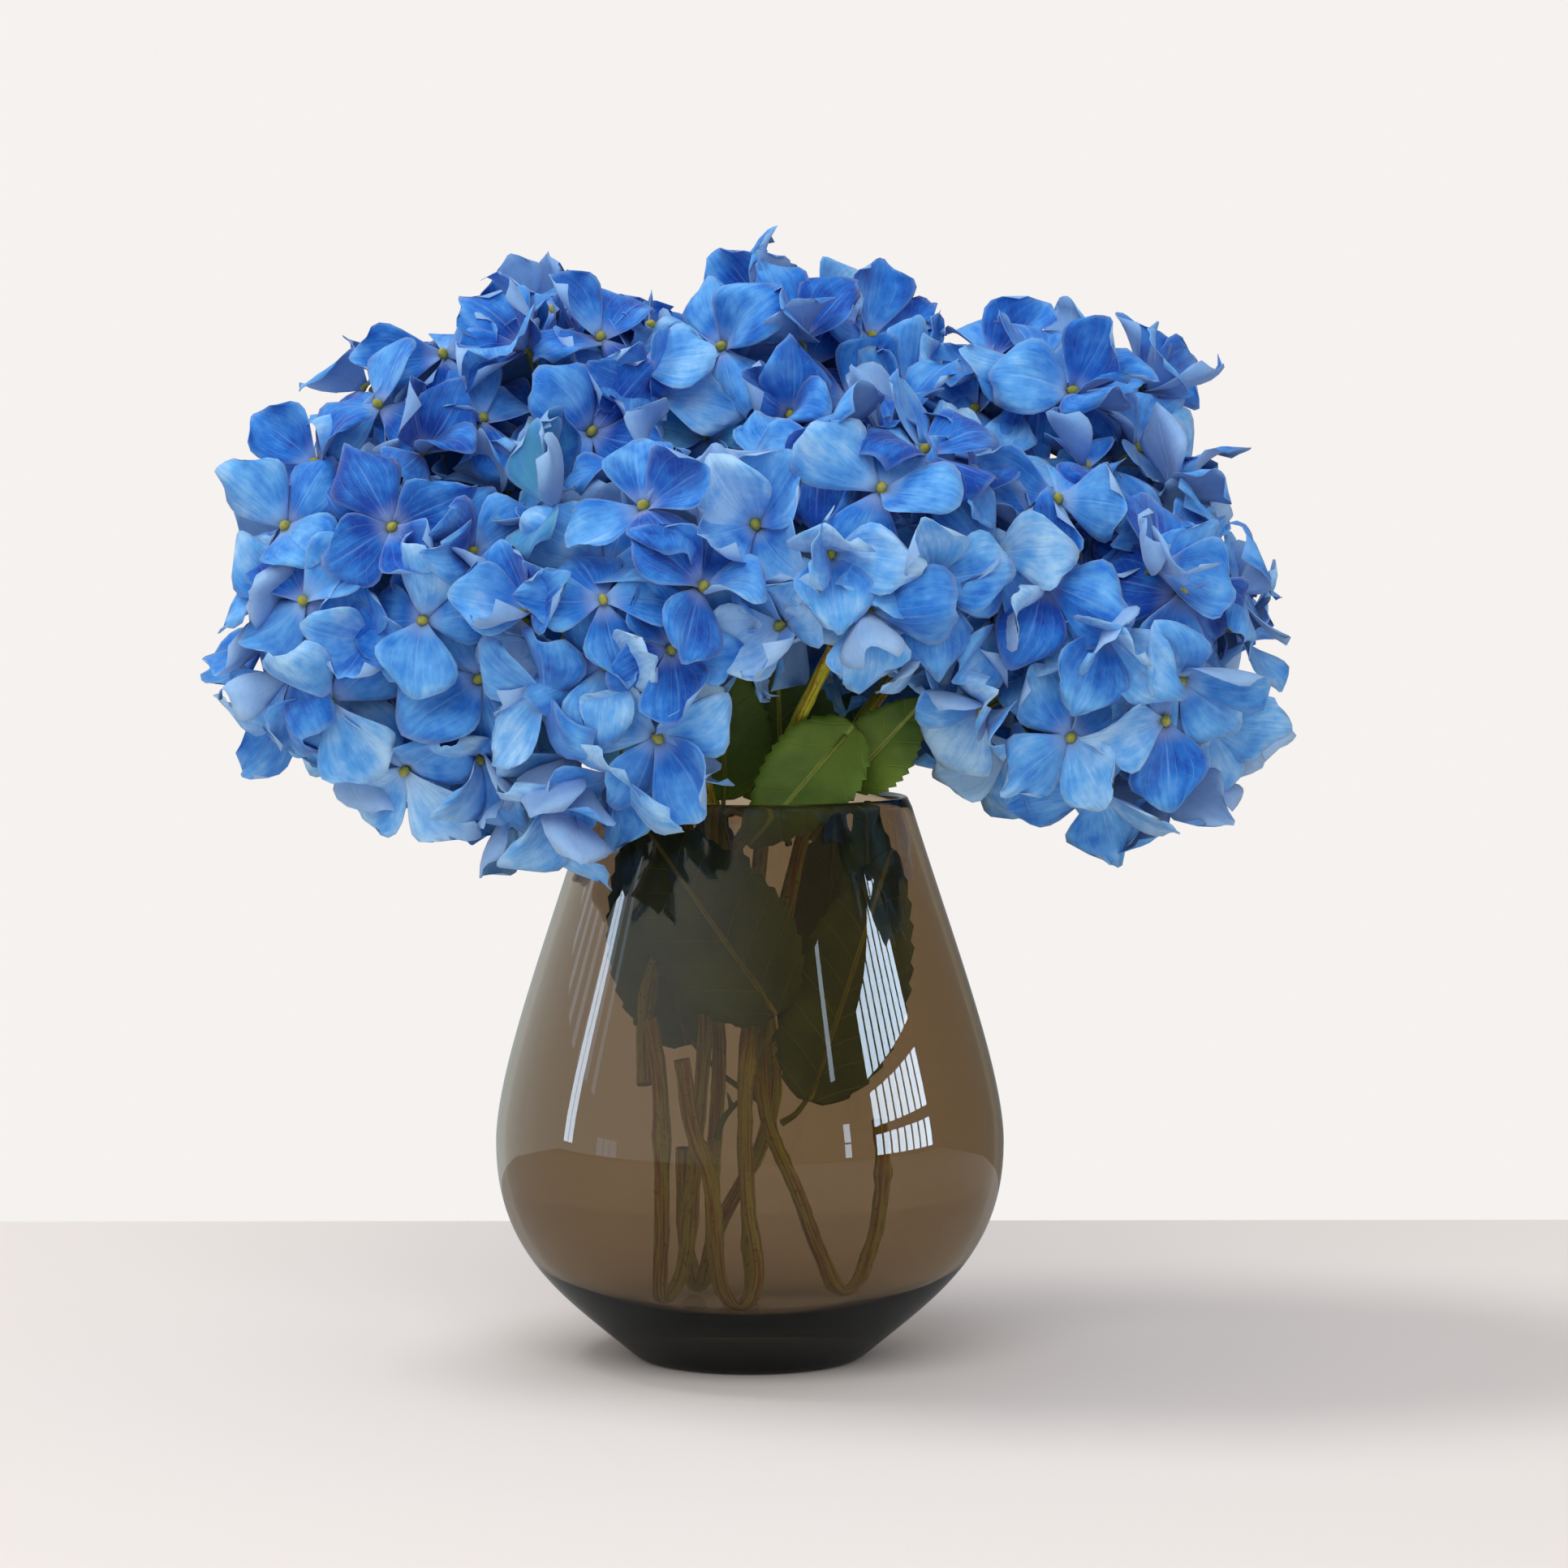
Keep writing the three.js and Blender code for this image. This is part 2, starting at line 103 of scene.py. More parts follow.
class Field:
    """A socket whose value differs from place to place, and that adds up like a number."""

    def __init__(self, tree, socket):
        self.tree, self.socket = tree, socket

    def maths(self, operation, *others):
        return node(self.tree, "Math", (self, *others), operation=operation)

    def __add__(self, other):
        return self.maths("ADD", other)

    def __sub__(self, other):
        return self.maths("SUBTRACT", other)

    def __mul__(self, other):
        return self.maths("MULTIPLY", other)

    def __pow__(self, other):
        return self.maths("POWER", other)

    def __rsub__(self, other):
        return node(self.tree, "Math", (other, self), operation="SUBTRACT")

    __radd__ = __add__
    __rmul__ = __mul__

    def __abs__(self):
        return self.maths("ABSOLUTE")

    def fade(self, start, end):
        """0 before start and 1 past end, or the other way round when end is the lower."""
        ends = (start, end, 0.0, 1.0) if start < end else (end, start, 1.0, 0.0)
        return node(self.tree, "MapRange", (self, *ends), interpolation_type="SMOOTHSTEP")

    def line(self, repeats, width):
        """1 on lines that repeat, 0 between them."""
        off = abs((self * repeats).maths("FRACT") - 0.5)
        return off.fade(0.5 - width, 0.5)

    def colours(self, low, high):
        """A colour that goes from low to high as this goes from 0 to 1."""
        return node(self.tree, "Mix", {0: self, 6: low, 7: high}, 2, data_type="RGBA")

    def axes(self):
        """The first two numbers of a place, each on its own."""
        return [node(self.tree, "SeparateXYZ", (self,), out=axis) for axis in (0, 1)]


def object_place(tree):
    """Where a point of the surface lies in the object's own space, in metres."""
    return node(tree, "TexCoord", out=3)


def noise(tree, scale, detail, place=None, roughness=None):
    """A cloudy noise, over the object's own space unless another place is given."""
    return node(tree, "TexNoise", {"Vector": place or object_place(tree), "Scale": scale,
                                     "Detail": detail, "Roughness": roughness})


def bare_tree(owner):
    owner.use_nodes = True
    owner.node_tree.nodes.clear()
    return owner.node_tree


def new_material(name):
    material = bpy.data.materials.new(name)
    return material, bare_tree(material)


def put_out(tree, surface, volume=None):
    node(tree, "OutputMaterial", {"Surface": surface, "Volume": volume})


def rgb(red, green, blue):
    """A display colour of 0 to 255 as the light it stands for."""
    parts = []
    for part in (red, green, blue):
        share = part / 255
        parts.append(share / 12.92 if share <= 0.04045 else ((share + 0.055) / 1.055) ** 2.4)
    return (*parts, 1)


def new_mesh(name, points, faces=(), finish=None, smooth=False, edges=()):
    mesh = bpy.data.meshes.new(name)
    mesh.from_pydata([tuple(point) for point in points], edges, faces)
    if finish:
        mesh.materials.append(finish)
    if smooth:
        mesh.shade_smooth()
    return mesh


def put(name, data):
    """A new object in the scene."""
    made = bpy.data.objects.new(name, data)
    bpy.context.scene.collection.objects.link(made)
    return made


def hide_from(thing, *rays):
    for ray in rays:
        setattr(thing, "visible_" + ray, False)


def looking(place, target):
    """The turn of a lamp or camera at place that looks at target."""
    return (Vector(target) - Vector(place)).to_track_quat("-Z", "Y").to_euler()


camera = put("camera", bpy.data.cameras.new("camera"))
camera.data.lens = LENS
camera.location = EYE
camera.rotation_euler = looking(EYE, AIM)
bpy.context.scene.camera = camera
bpy.context.scene.view_settings.view_transform = "Standard"

# The wall is the world itself, as it is seen straight on or through the glass. What lights the
# flowers is the rest of the room, which is dimmer, and reflections show it darkest on the right.
world = bpy.context.scene.world = bpy.data.worlds.new("room")
tree = bare_tree(world)
straight, mirrored, through = (node(tree, "LightPath", out=kind) for kind in (0, 3, 6))
rightward = node(tree, "TexCoord", out=0).axes()[0].fade(-0.9, 0.6)
room = mirrored.colours(ROOM_COLOUR, rightward.colours(DIM_LEFT, DIM_RIGHT))
seen = straight.maths("MAXIMUM", through)
wall = node(tree, "Background", (seen.colours(room, WALL_COLOUR), 1.0))
node(tree, "OutputWorld", {"Surface": wall})

table_finish, tree = new_material("pale matt table top")
cloud = noise(tree, 3.0, 2.0)
darker = tuple(part * 0.985 for part in TABLE_COLOUR[:3]) + (1,)
past_glass = node(tree, "LightPath", out=6)
reflected = node(tree, "LightPath", out=3) * (1 - past_glass)
in_view = cloud.colours(darker, TABLE_COLOUR)
matt = node(tree, "BsdfDiffuse", {"Color": reflected.colours(in_view, TABLE_REFLECTED)})
even = node(tree, "Emission", (TABLE_PAST_GLASS, 1.0))
put_out(tree, node(tree, "MixShader", (past_glass, matt, even)))
table_finish.cycles.emission_sampling = "NONE"
corners = [(-TABLE_REACH, -TABLE_REACH, 0), (TABLE_REACH, -TABLE_REACH, 0),
           (TABLE_REACH, TABLE_BACK, 0), (-TABLE_REACH, TABLE_BACK, 0)]
table_top = put("table_top", new_mesh("table_top", corners, [(0, 1, 2, 3)], table_finish))


def soft_lamp(name, place, target, size, power, colour):
    lamp = bpy.data.lights.new(name, "AREA")
    lamp.shape, lamp.size, lamp.energy, lamp.color = "DISK", size, power, colour
    holder = put(name, lamp)
    holder.location = place
    holder.rotation_euler = looking(place, target)
    hide_from(holder, "camera", "glossy", "transmission")


soft_lamp("key_lamp", (-1.02, 0.02, 2.32), (0, 0, 0.2), 0.85, 21.0, (1.0, 0.985, 0.96))
soft_lamp("front_lamp", (-0.25, -2.3, 1.9), (0, 0, 0.25), 2.2, 34.0, (1.0, 0.99, 0.97))


def window(name, turn, bottom, top, wide, columns, rows, strength, bar_share=0.05):
    """A window of panes round the table, seen only in reflections. turn is the angle round
    the vase in degrees, from straight in front towards the right."""
    finish, tree = new_material(name)
    put_out(tree, node(tree, "Emission", (DAYLIGHT, strength)))
    outward = Vector((math.sin(math.radians(turn)), -math.cos(math.radians(turn)), 0))
    across = Vector((-outward.y, outward.x, 0))
    points, faces = [], []
    for column in range(columns):
        for row in range(rows):
            left = (column + bar_share) / columns - 0.5
            right = (column + 1 - bar_share) / columns - 0.5
            low = bottom + (top - bottom) * (row + bar_share) / rows
            high = bottom + (top - bottom) * (row + 1 - bar_share) / rows
            start = len(points)
            for side, height in ((left, low), (right, low), (right, high), (left, high)):
                points.append(outward * WINDOW_DISTANCE + across * side * wide
                              + Vector((0, 0, height)))
            faces.append((start, start + 1, start + 2, start + 3))
    made = put(name, new_mesh(name, points, faces, finish))
    hide_from(made, "camera", "diffuse", "transmission", "shadow")


window("window_right", 73, 0.06, 1.15, 1.25, 8, 3, 17.0, 0.12)
window("window_right_slit", 44, 0.1, 0.55, 0.13, 1, 2, 9.0)
window("window_right_high", 40, 0.85, 1.35, 0.10, 1, 1, 6.0)
window("window_left", -88, 0.05, 1.9, 0.22, 2, 1, 12.0)
window("window_left_low", -66, 0.04, 0.3, 0.42, 3, 1, 2.2)
window("window_left_high", -62, 1.5, 2.1, 0.16, 1, 1, 5.0)
window("curtain_left", -104, 0.2, 1.7, 2.4, 9, 1, 2.2, 0.3)

# --------------------
# The vase: one blown piece of smoke-brown glass, a teardrop open at the top, thin in the wall
# and thick and nearly black in the foot. Its lip is fire-polished round.

HEIGHT = VASE_HIGH.z - VASE_LOW.z
BELLY = (VASE_HIGH.x - VASE_LOW.x) / 2
BELLY_UP = 0.075
RIM = 0.0549
FOOT = 0.036
FOOT_ROUNDING = (0.006, 0.0027)
BOWL_SLOPE = 40.5
INSIDE_FROM = 0.040
WALL = 0.003
GLASS_FLOOR = 0.012
GLASS_TINT = (0.522, 0.420, 0.298, 1)
GLASS_DEPTH_COLOUR = (0.43, 0.42, 0.39, 1)
TURNS = 144


def bezier(points, count, first=0):
    """Points of a Bezier curve of any degree."""
    found = []
    for step in range(first, count + 1):
        share = step / count
        row = [Vector(point) for point in points]
        while len(row) > 1:
            row = [a.lerp(b, share) for a, b in zip(row, row[1:])]
        found.append(row[0])
    return found


def vase_profile():
    """The outside from the foot to the lip and the inside back down to the floor, as radius and
    height."""
    corner = (FOOT + FOOT_ROUNDING[0], FOOT_ROUNDING[1])
    lower = (BELLY_UP - corner[1]) * 0.42
    upper = HEIGHT - BELLY_UP
    slope = math.radians(BOWL_SLOPE)
    lifted = (corner[0] + lower * math.cos(slope), corner[1] + lower * math.sin(slope))
    outside = bezier([(FOOT, 0), (FOOT + 0.003, 0.0001), corner], 6)
    outside += bezier([corner, lifted, (BELLY, BELLY_UP - lower * 1.25), (BELLY, BELLY_UP)], 26, 1)
    shoulder = (RIM + upper * 0.4 * 0.31, HEIGHT - upper * 0.4)
    outside += bezier([(BELLY, BELLY_UP), (BELLY, BELLY_UP + upper * 0.21), shoulder,
                       (RIM, HEIGHT)], 40, 1)
    inside = []
    for before, point, after in zip(outside, outside[1:], outside[2:]):
        along = (after - before).normalized()
        moved = Vector((point.x - along.y * WALL, point.y + along.x * WALL))
        if moved.y > INSIDE_FROM:
            inside.append(moved)
    down = (inside[0] - inside[1]).normalized() * (inside[0].y - GLASS_FLOOR) * 0.9
    bowl = bezier([(0, GLASS_FLOOR), (FOOT, GLASS_FLOOR), inside[0] + down, inside[0]], 26)
    inside = bowl + inside[1:]
    lip = WALL / 2
    outside = [point for point in outside if point.y < HEIGHT - lip]
    inside = [point for point in inside if point.y < HEIGHT - lip]
    middle = Vector((RIM - lip, HEIGHT - lip))
    rounded = [middle + Vector((math.cos(math.radians(a)), math.sin(math.radians(a)))) * lip
               for a in range(12, 180, 24)]
    return [Vector((0, 0))] + outside + rounded + inside[::-1]


def turned(profile, count):
    """The faces of a profile turned round the upright axis. Its first and last points lie on
    the axis."""
    points = [(0, 0, profile[0].y)]
    for step in range(count):
        angle = 2 * math.pi * step / count
        points += [(p.x * math.cos(angle), p.x * math.sin(angle), p.y) for p in profile[1:-1]]
    points.append((0, 0, profile[-1].y))
    ring = len(profile) - 2
    faces = []
    for step in range(count):
        a = 1 + step * ring
        b = 1 + (step + 1) % count * ring
        faces.append((0, b, a))
        faces += [(a + i, b + i, b + i + 1, a + i + 1) for i in range(ring - 1)]
        faces.append((a + ring - 1, b + ring - 1, len(points) - 1))
    return points, faces


def piece(name, mesh, cad_node):
    """Puts a finished mesh into the scene as a piece of the object."""
    made = put(name, mesh)
    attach(made, "root")
    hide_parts(cad_node)


glass_finish, tree = new_material("smoke brown glass")
stretched = node(tree, "Mapping", {"Vector": object_place(tree), "Scale": (1.0, 1.0, 0.22)})
ripple = noise(tree, 38.0, 0.0, stretched)
smudge = noise(tree, 60.0, 4.0)
relief = node(tree, "Bump", {"Height": ripple, "Strength": 0.05, "Distance": 0.002})
clear = node(tree, "BsdfPrincipled", {
    "Base Color": GLASS_TINT, "Roughness": smudge.fade(0.45, 0.85) * 0.01, "IOR": 1.5,
    "Transmission Weight": 1.0, "Normal": relief})
lets_lamps = node(tree, "BsdfTransparent", (tuple(c ** 0.5 for c in GLASS_TINT[:3]) + (1,),))
in_shadow = node(tree, "LightPath", out=1)
glass = node(tree, "MixShader", (in_shadow, clear, lets_lamps))
depth = node(tree, "VolumeAbsorption", (GLASS_DEPTH_COLOUR, 150.0))
put_out(tree, glass, depth)

mesh = new_mesh("vase_glass", *turned(vase_profile(), TURNS), glass_finish, smooth=True)
piece("vase_glass", mesh, "vase")

# --------------------
# The stems: woody hydrangea stems of about 5 mm, ribbed and knotty, cut off square below.
# Some are bent double inside the bowl, so their cut ends stand up beside them.

STEM_RADIUS = 0.0027
STEM_TAPER = 0.12
KNOT_EVERY = 27
KNOT_SWELL = 0.30

# Each runs from its cut end, down and up again inside the vase, to its seat in a bloom, in mm.
STEM_ROUTES = {
    "front_left": [
        (-34.1, -22, 120), (-30.8, -24.3, 99.8), (-30, -24.3, 52.3), (-30.2, -22.3, 19.2),
        (-23.3, -14.1, 32.1), (-18.7, -12.7, 74.2), (-15, -13.5, 121.8), (-14.1, -18.2, 195),
        (-21.3, -29.4, 215.9), (-31.2, -44.5, 237.2)],
    "front_right": [
        (-23, -34.1, 107.2), (-19.3, -35.3, 83.4), (-13.5, -36.2, 66.9), (-9.7, -37.4, 30.3),
        (-3.6, -35.3, 18.8), (2.1, -35.4, 32.1), (-0.8, -33.2, 57.8), (-1.7, -29.8, 92.5),
        (0.8, -25.8, 120), (2, -19.8, 151.1), (6.2, -14.1, 195), (15.7, -26.1, 220.4),
        (28.5, -42.4, 247.8)],
    "right": [
        (44.5, -8.4, 83.4), (45.8, -8.5, 72.4), (45.1, -8.2, 55), (41.5, -8.9, 37.6),
        (33.1, -11.9, 21.8), (23.9, -14.9, 38.5), (15.9, -18.4, 60.5), (5.9, -20.1, 85.2),
        (3.9, -19.6, 110.8), (11.9, -15.2, 151.1), (23.9, -9.9, 195), (51.1, -11.3, 214),
        (88, -13.3, 232.6)],
    "top_left": [
        (-23.6, 28.7, 68.7), (-23, 29.4, 34), (-18.7, 22, 17.9), (-11.4, 16, 41.3),
        (5.9, 14.4, 77), (8, 16, 105.3), (-2.7, 17.3, 149.3), (-14.1, 18.2, 195),
        (-28, 24.9, 228.8), (-47, 33.9, 267.6)],
    "left": [
        (-6.8, -3.1, 14.2), (-10.5, -4.3, 24.8), (-13, -4.2, 61.4), (-11.8, -4.2, 79.7),
        (-10.9, -3.9, 112.7), (-17.8, -2, 151.1), (-26, 0, 195), (-50.1, -1.4, 216.8),
        (-82.8, -3.3, 239.2)],
    "top_back": [
        (-36.1, -13.9, 96.2), (-36.4, -7.7, 114.5), (-31.6, 14, 138.3), (-11.6, 24.5, 165.7),
        (6.2, 26, 195), (7.9, 33.3, 227.4), (10, 43.2, 264.3)],
    "top_right": [
        (0.6, 4, 14.2), (0.6, 5.6, 24.8), (-0.8, 5.7, 52.3), (-1.7, 6.7, 85.2),
        (-0.8, 5.5, 110.8), (10.6, 9.3, 149.3), (23.9, 14.1, 195), (42.4, 20.8, 224.6),
        (67.5, 29.9, 257.7)],
}


def metres(points):
    return [Vector(point) / 1000 for point in points]


def smooth_path(points, steps):
    """A smooth curve through points, as a row of points along it."""
    padded = [points[0] * 2 - points[1], *points, points[-1] * 2 - points[-2]]
    found = [points[0]]
    for a, b, c, d in zip(padded, padded[1:], padded[2:], padded[3:]):
        gaps = [max((q - p).length, 1e-9) ** 0.5 for p, q in ((a, b), (b, c), (c, d))]
        leave = (b - a) / gaps[0] - (c - a) / (gaps[0] + gaps[1]) + (c - b) / gaps[1]
        arrive = (c - b) / gaps[1] - (d - b) / (gaps[1] + gaps[2]) + (d - c) / gaps[2]
        leave, arrive = leave * gaps[1], arrive * gaps[1]
        for step in range(1, steps + 1):
            t = step / steps
            found.append(b * (2 * t ** 3 - 3 * t ** 2 + 1) + leave * (t ** 3 - 2 * t ** 2 + t)
                         + c * (3 * t ** 2 - 2 * t ** 3) + arrive * (t ** 3 - t ** 2))
    return found


def geometry_tree(name, sockets):
    tree = bpy.data.node_groups.new(name, "GeometryNodeTree")
    tree.interface.new_socket("Geometry", in_out="OUTPUT", socket_type="NodeSocketGeometry")
    for label, kind in [("Geometry", "Geometry"), *sockets]:
        tree.interface.new_socket(label, in_out="INPUT", socket_type="NodeSocket" + kind)
    given = tree.nodes.new("NodeGroupInput").outputs
    return tree, {socket.name: Field(tree, socket) for socket in given if socket.name}


def close_tree(tree, geometry, finish):
    """Ends a geometry tree as one plain mesh with its finish on it."""
    real = node(tree, "GeometryNodeRealizeInstances", {"Geometry": geometry})
    painted = node(tree, "GeometryNodeSetMaterial", {"Geometry": real, "Material": finish})
    node(tree, "NodeGroupOutput", {"Geometry": painted})


def finished_mesh(name, mesh, tree, values):
    """Runs a geometry tree on a mesh and gives what it makes as a plain mesh."""
    holder = put(name, mesh)
    modifier = holder.modifiers.new(tree.name, "NODES")
    modifier.node_group = tree
    for item in tree.interface.items_tree:
        if item.in_out == "INPUT" and item.name in values:
            modifier[item.identifier] = values[item.name]
    depsgraph = bpy.context.evaluated_depsgraph_get()
    made = bpy.data.meshes.new_from_object(holder.evaluated_get(depsgraph), depsgraph=depsgraph)
    made.name = name
    bpy.data.objects.remove(holder)
    return made


# Thickens lines into round bars. Each point of a line carries its own thickness; section and
# along follow the bar, for the streaks of its bark.
bars, given = geometry_tree("bars along lines", [
    ("Sides", "Int"), ("Lump Height", "Float"), ("Lumps per Metre", "Float"),
    ("Finish", "Material")])
line = node(bars, "GeometryNodeMeshToCurve", {"Mesh": given["Geometry"]})
marked = node(bars, "GeometryNodeStoreNamedAttribute", {
    "Geometry": line, "Name": "along",
    "Value": node(bars, "GeometryNodeSplineParameter", out="Length")},
    data_type="FLOAT", domain="POINT")
thick = node(bars, "GeometryNodeInputNamedAttribute", {"Name": "thickness"}, "Attribute",
             data_type="FLOAT")
ring = node(bars, "GeometryNodeCurvePrimitiveCircle", {
    "Resolution": given["Sides"], "Radius": 1.0})
place = node(bars, "GeometryNodeInputPosition")
ring_marked = node(bars, "GeometryNodeStoreNamedAttribute", {
    "Geometry": ring, "Name": "section", "Value": place},
    data_type="FLOAT_VECTOR", domain="POINT")
swept = node(bars, "GeometryNodeCurveToMesh", {
    "Curve": marked, "Profile Curve": ring_marked, "Fill Caps": True, "Scale": thick})
height = (noise(bars, given["Lumps per Metre"], 1.0, place) - 0.5) * given["Lump Height"]
push = node(bars, "VectorMath", {0: node(bars, "GeometryNodeInputNormal"), "Scale": height},
            operation="SCALE")
lumpy = node(bars, "GeometryNodeSetPosition", {"Geometry": swept, "Offset": push})
smoothed = node(bars, "GeometryNodeSetShadeSmooth", {"Geometry": lumpy})
close_tree(bars, smoothed, given["Finish"])


def mark(mesh, label, values, kind="FLOAT", field="value"):
    """Gives every point of a mesh a value of its own."""
    mesh.attributes.new(label, kind, "POINT").data.foreach_set(field, values)


def bar_mesh(name, lines, sides, finish, lump=0.0, lumps=100.0):
    """One mesh of round bars. Each line is a row of points and a row of thicknesses."""
    points, edges, sizes = [], [], []
    for path, radii in lines:
        edges += [(len(points) + i, len(points) + i + 1) for i in range(len(path) - 1)]
        points += path
        sizes += radii
    mesh = new_mesh(name + "_lines", points, edges=edges)
    mark(mesh, "thickness", sizes)
    return finished_mesh(name, mesh, bars, {"Sides": sides, "Lump Height": lump,
                                            "Lumps per Metre": lumps, "Finish": finish})


def attribute(tree, name):
    return node(tree, "Attribute", out=2, attribute_name=name)


def put_solid(tree, colour, roughness, height, strength, distance, others=None):
    """Ends a material as a solid surface with a fine relief."""
    relief = node(tree, "Bump", {"Height": height, "Strength": strength, "Distance": distance})
    put_out(tree, node(tree, "BsdfPrincipled", {
        "Base Color": colour, "Roughness": roughness, "Normal": relief, **(others or {})}))


bark_finish, tree = new_material("green brown stem")
along = attribute(tree, "along")
round_x, round_y = node(tree, "Attribute", out=1, attribute_name="section").axes()
streak_place = node(tree, "CombineXYZ", (round_x * 2.2, round_y * 2.2, along * 22.0))
streak = noise(tree, 1.6, 5.0, streak_place, 0.6)
patch = noise(tree, 32.0, 2.0)
fleck = noise(tree, 600.0, 2.0)
green = patch.colours(rgb(196, 202, 14), rgb(236, 236, 70))
brown = patch.colours(rgb(176, 96, 12), rgb(212, 142, 40))
bark = streak.fade(0.47, 0.60).colours(green, brown)
bark = (fleck.fade(0.6, 0.72) * 0.5).colours(bark, rgb(92, 66, 30))
cut_end = along.fade(0.0008, 0.0)
bark = cut_end.colours(bark, rgb(168, 140, 92))
put_solid(tree, bark, 0.5 + streak * 0.25, streak + fleck * 0.2, 1.0, 0.0022)

stem_paths = {}
for name, route in STEM_ROUTES.items():
    path = stem_paths[name] = smooth_path(metres(route), 9)
    widths = []
    for i in range(len(path)):
        knot = 1 + KNOT_SWELL * math.exp(-((i % KNOT_EVERY - 13) / 1.3) ** 2)
        widths.append(STEM_RADIUS * knot * (1.0 - STEM_TAPER * i / len(path)))
    mesh = bar_mesh("stem_" + name, [(path, widths)], 18, bark_finish, 0.0014, 230.0)
    piece("stem_" + name + "_bark", mesh, "stem_" + name)

# --------------------
# The side shoot: a thin twig of young green wood that sprouts beside a stem and ends in a split
# bud. It is smooth, with none of the ribs of the old stems.

SHOOT_RADIUS = 0.0014
SHOOT_TAPER = 0.45


def mottled_finish(name, scale, detail, low, high, roughness, strength, distance):
    """A plain finish whose colour, roughness and relief all follow one fine noise."""
    finish, tree = new_material(name)
    shade = noise(tree, scale, detail)
    put_solid(tree, shade.colours(low, high), roughness + shade * 0.2, shade, strength, distance)
    return finish


shoot_finish = mottled_finish("young green shoot", 240.0, 3.0, rgb(92, 112, 36),
                              rgb(150, 168, 74), 0.45, 0.3, 0.0005)
path = smooth_path(metres([(-11.4, -9.1, 77.3), (-8.9, -11.1, 84.3), (-1.9, -13.1, 92.3)]), 8)
taper = [SHOOT_RADIUS * (1.0 - SHOOT_TAPER * i / (len(path) - 1)) for i in range(len(path))]
bud = [path[11], path[12] + Vector((-0.001, -0.0004, 0.001)),
       path[13] + Vector((-0.003, 0, 0.004))]
mesh = bar_mesh("side_shoot", [(path, taper), (bud, [0.0008, 0.0009, 0.0003])], 10, shoot_finish,
                0.0004, 500.0)
piece("side_shoot_twig", mesh, "side_shoot")

# --------------------
# The leaves: broad blades with saw-toothed edges, folded a little along the midrib and quilted
# between the side veins. Each hangs on a thin stalk that springs from one of the stems.

BLADE = 0.0005
TEETH = 13
PER_TOOTH = 4
BLADE_COLUMNS = 10
UV_UNIT = 0.05

# stalk's foot, blade's base and tip, width, the way the top looks, and the bow, in mm
LEAVES = {
    "front_left": (
        (2.7, -31.4, 108), (9.8, -36.1, 121.8), (-37.6, -29.6, 189.5), 48, (0, -1, 0), 4),
    "back_left": (
        (3.5, 16.8, 86.7), (-22.5, 30.5, 103.5), (-40.3, 28, 189.5), 42, (0, -1, 0.1), -4),
    "front_right": (
        (10.9, -21.7, 84), (20, -25.8, 90.7), (48, -20.6, 178.5), 42, (0.1, -1, 0), 3),
    "right_edge": (
        (3.6, 6.2, 108.1), (41.4, 12, 121.8), (41, 14.2, 193.2), 27, (0.2, -1, 0), 2),
    "mouth_front": (
        (11.7, -17, 198.3), (36, -28, 221), (-1, -34, 179), 32, (0, -1, 0.1), 3),
    "mouth_right": (
        (20.9, -14.9, 180.4), (32.9, -19.4, 199), (60.6, -22.1, 230), 25, (0, -1, 0.2), 3),
    "mouth_centre": (
        (13.6, 9.2, 176.9), (11, 5.3, 191.3), (9.5, -6.2, 246), 46, (0, -1, 0.2), 2),
    "mouth_left": (
        (-11.5, -10.3, 169.5), (-8.9, -5.3, 193.2), (-9.2, -13, 246), 32, (0.2, -1, 0), 2),
    "rim_left": (
        (-23.9, -4.4, 177.2), (-32.6, -13, 187.7), (-42.8, -22, 225), 25, (-0.2, -1, 0.2), 2),
    "back": (
        (4.9, 20, 108.1), (-11.5, 41.5, 116.3), (-14.1, 38.6, 187.7), 38, (0, 1, 0), 3),
    "back_right": (
        (11.8, 18.9, 97.2), (24, 32.5, 114.5), (31, 33.1, 187.7), 36, (0.3, 1, 0), 3),
    "mouth_back_left": (
        (-11.8, 21.1, 175), (-23.1, 29.5, 193.2), (-35.1, 59.3, 229), 30.2, (0, -0.7, 0.7), 5),
    "mouth_back_right": (
        (18.5, 16.4, 174.9), (26.3, 30, 193.2), (45, 56.5, 230), 30.2, (0, -0.7, 0.7), 5),
}


def blade_outline(share):
    """Half of the blade's width, as a share of the widest half."""
    return math.sin(math.pi * min(max(share, 0.0), 1.0) ** 0.72) ** 0.75


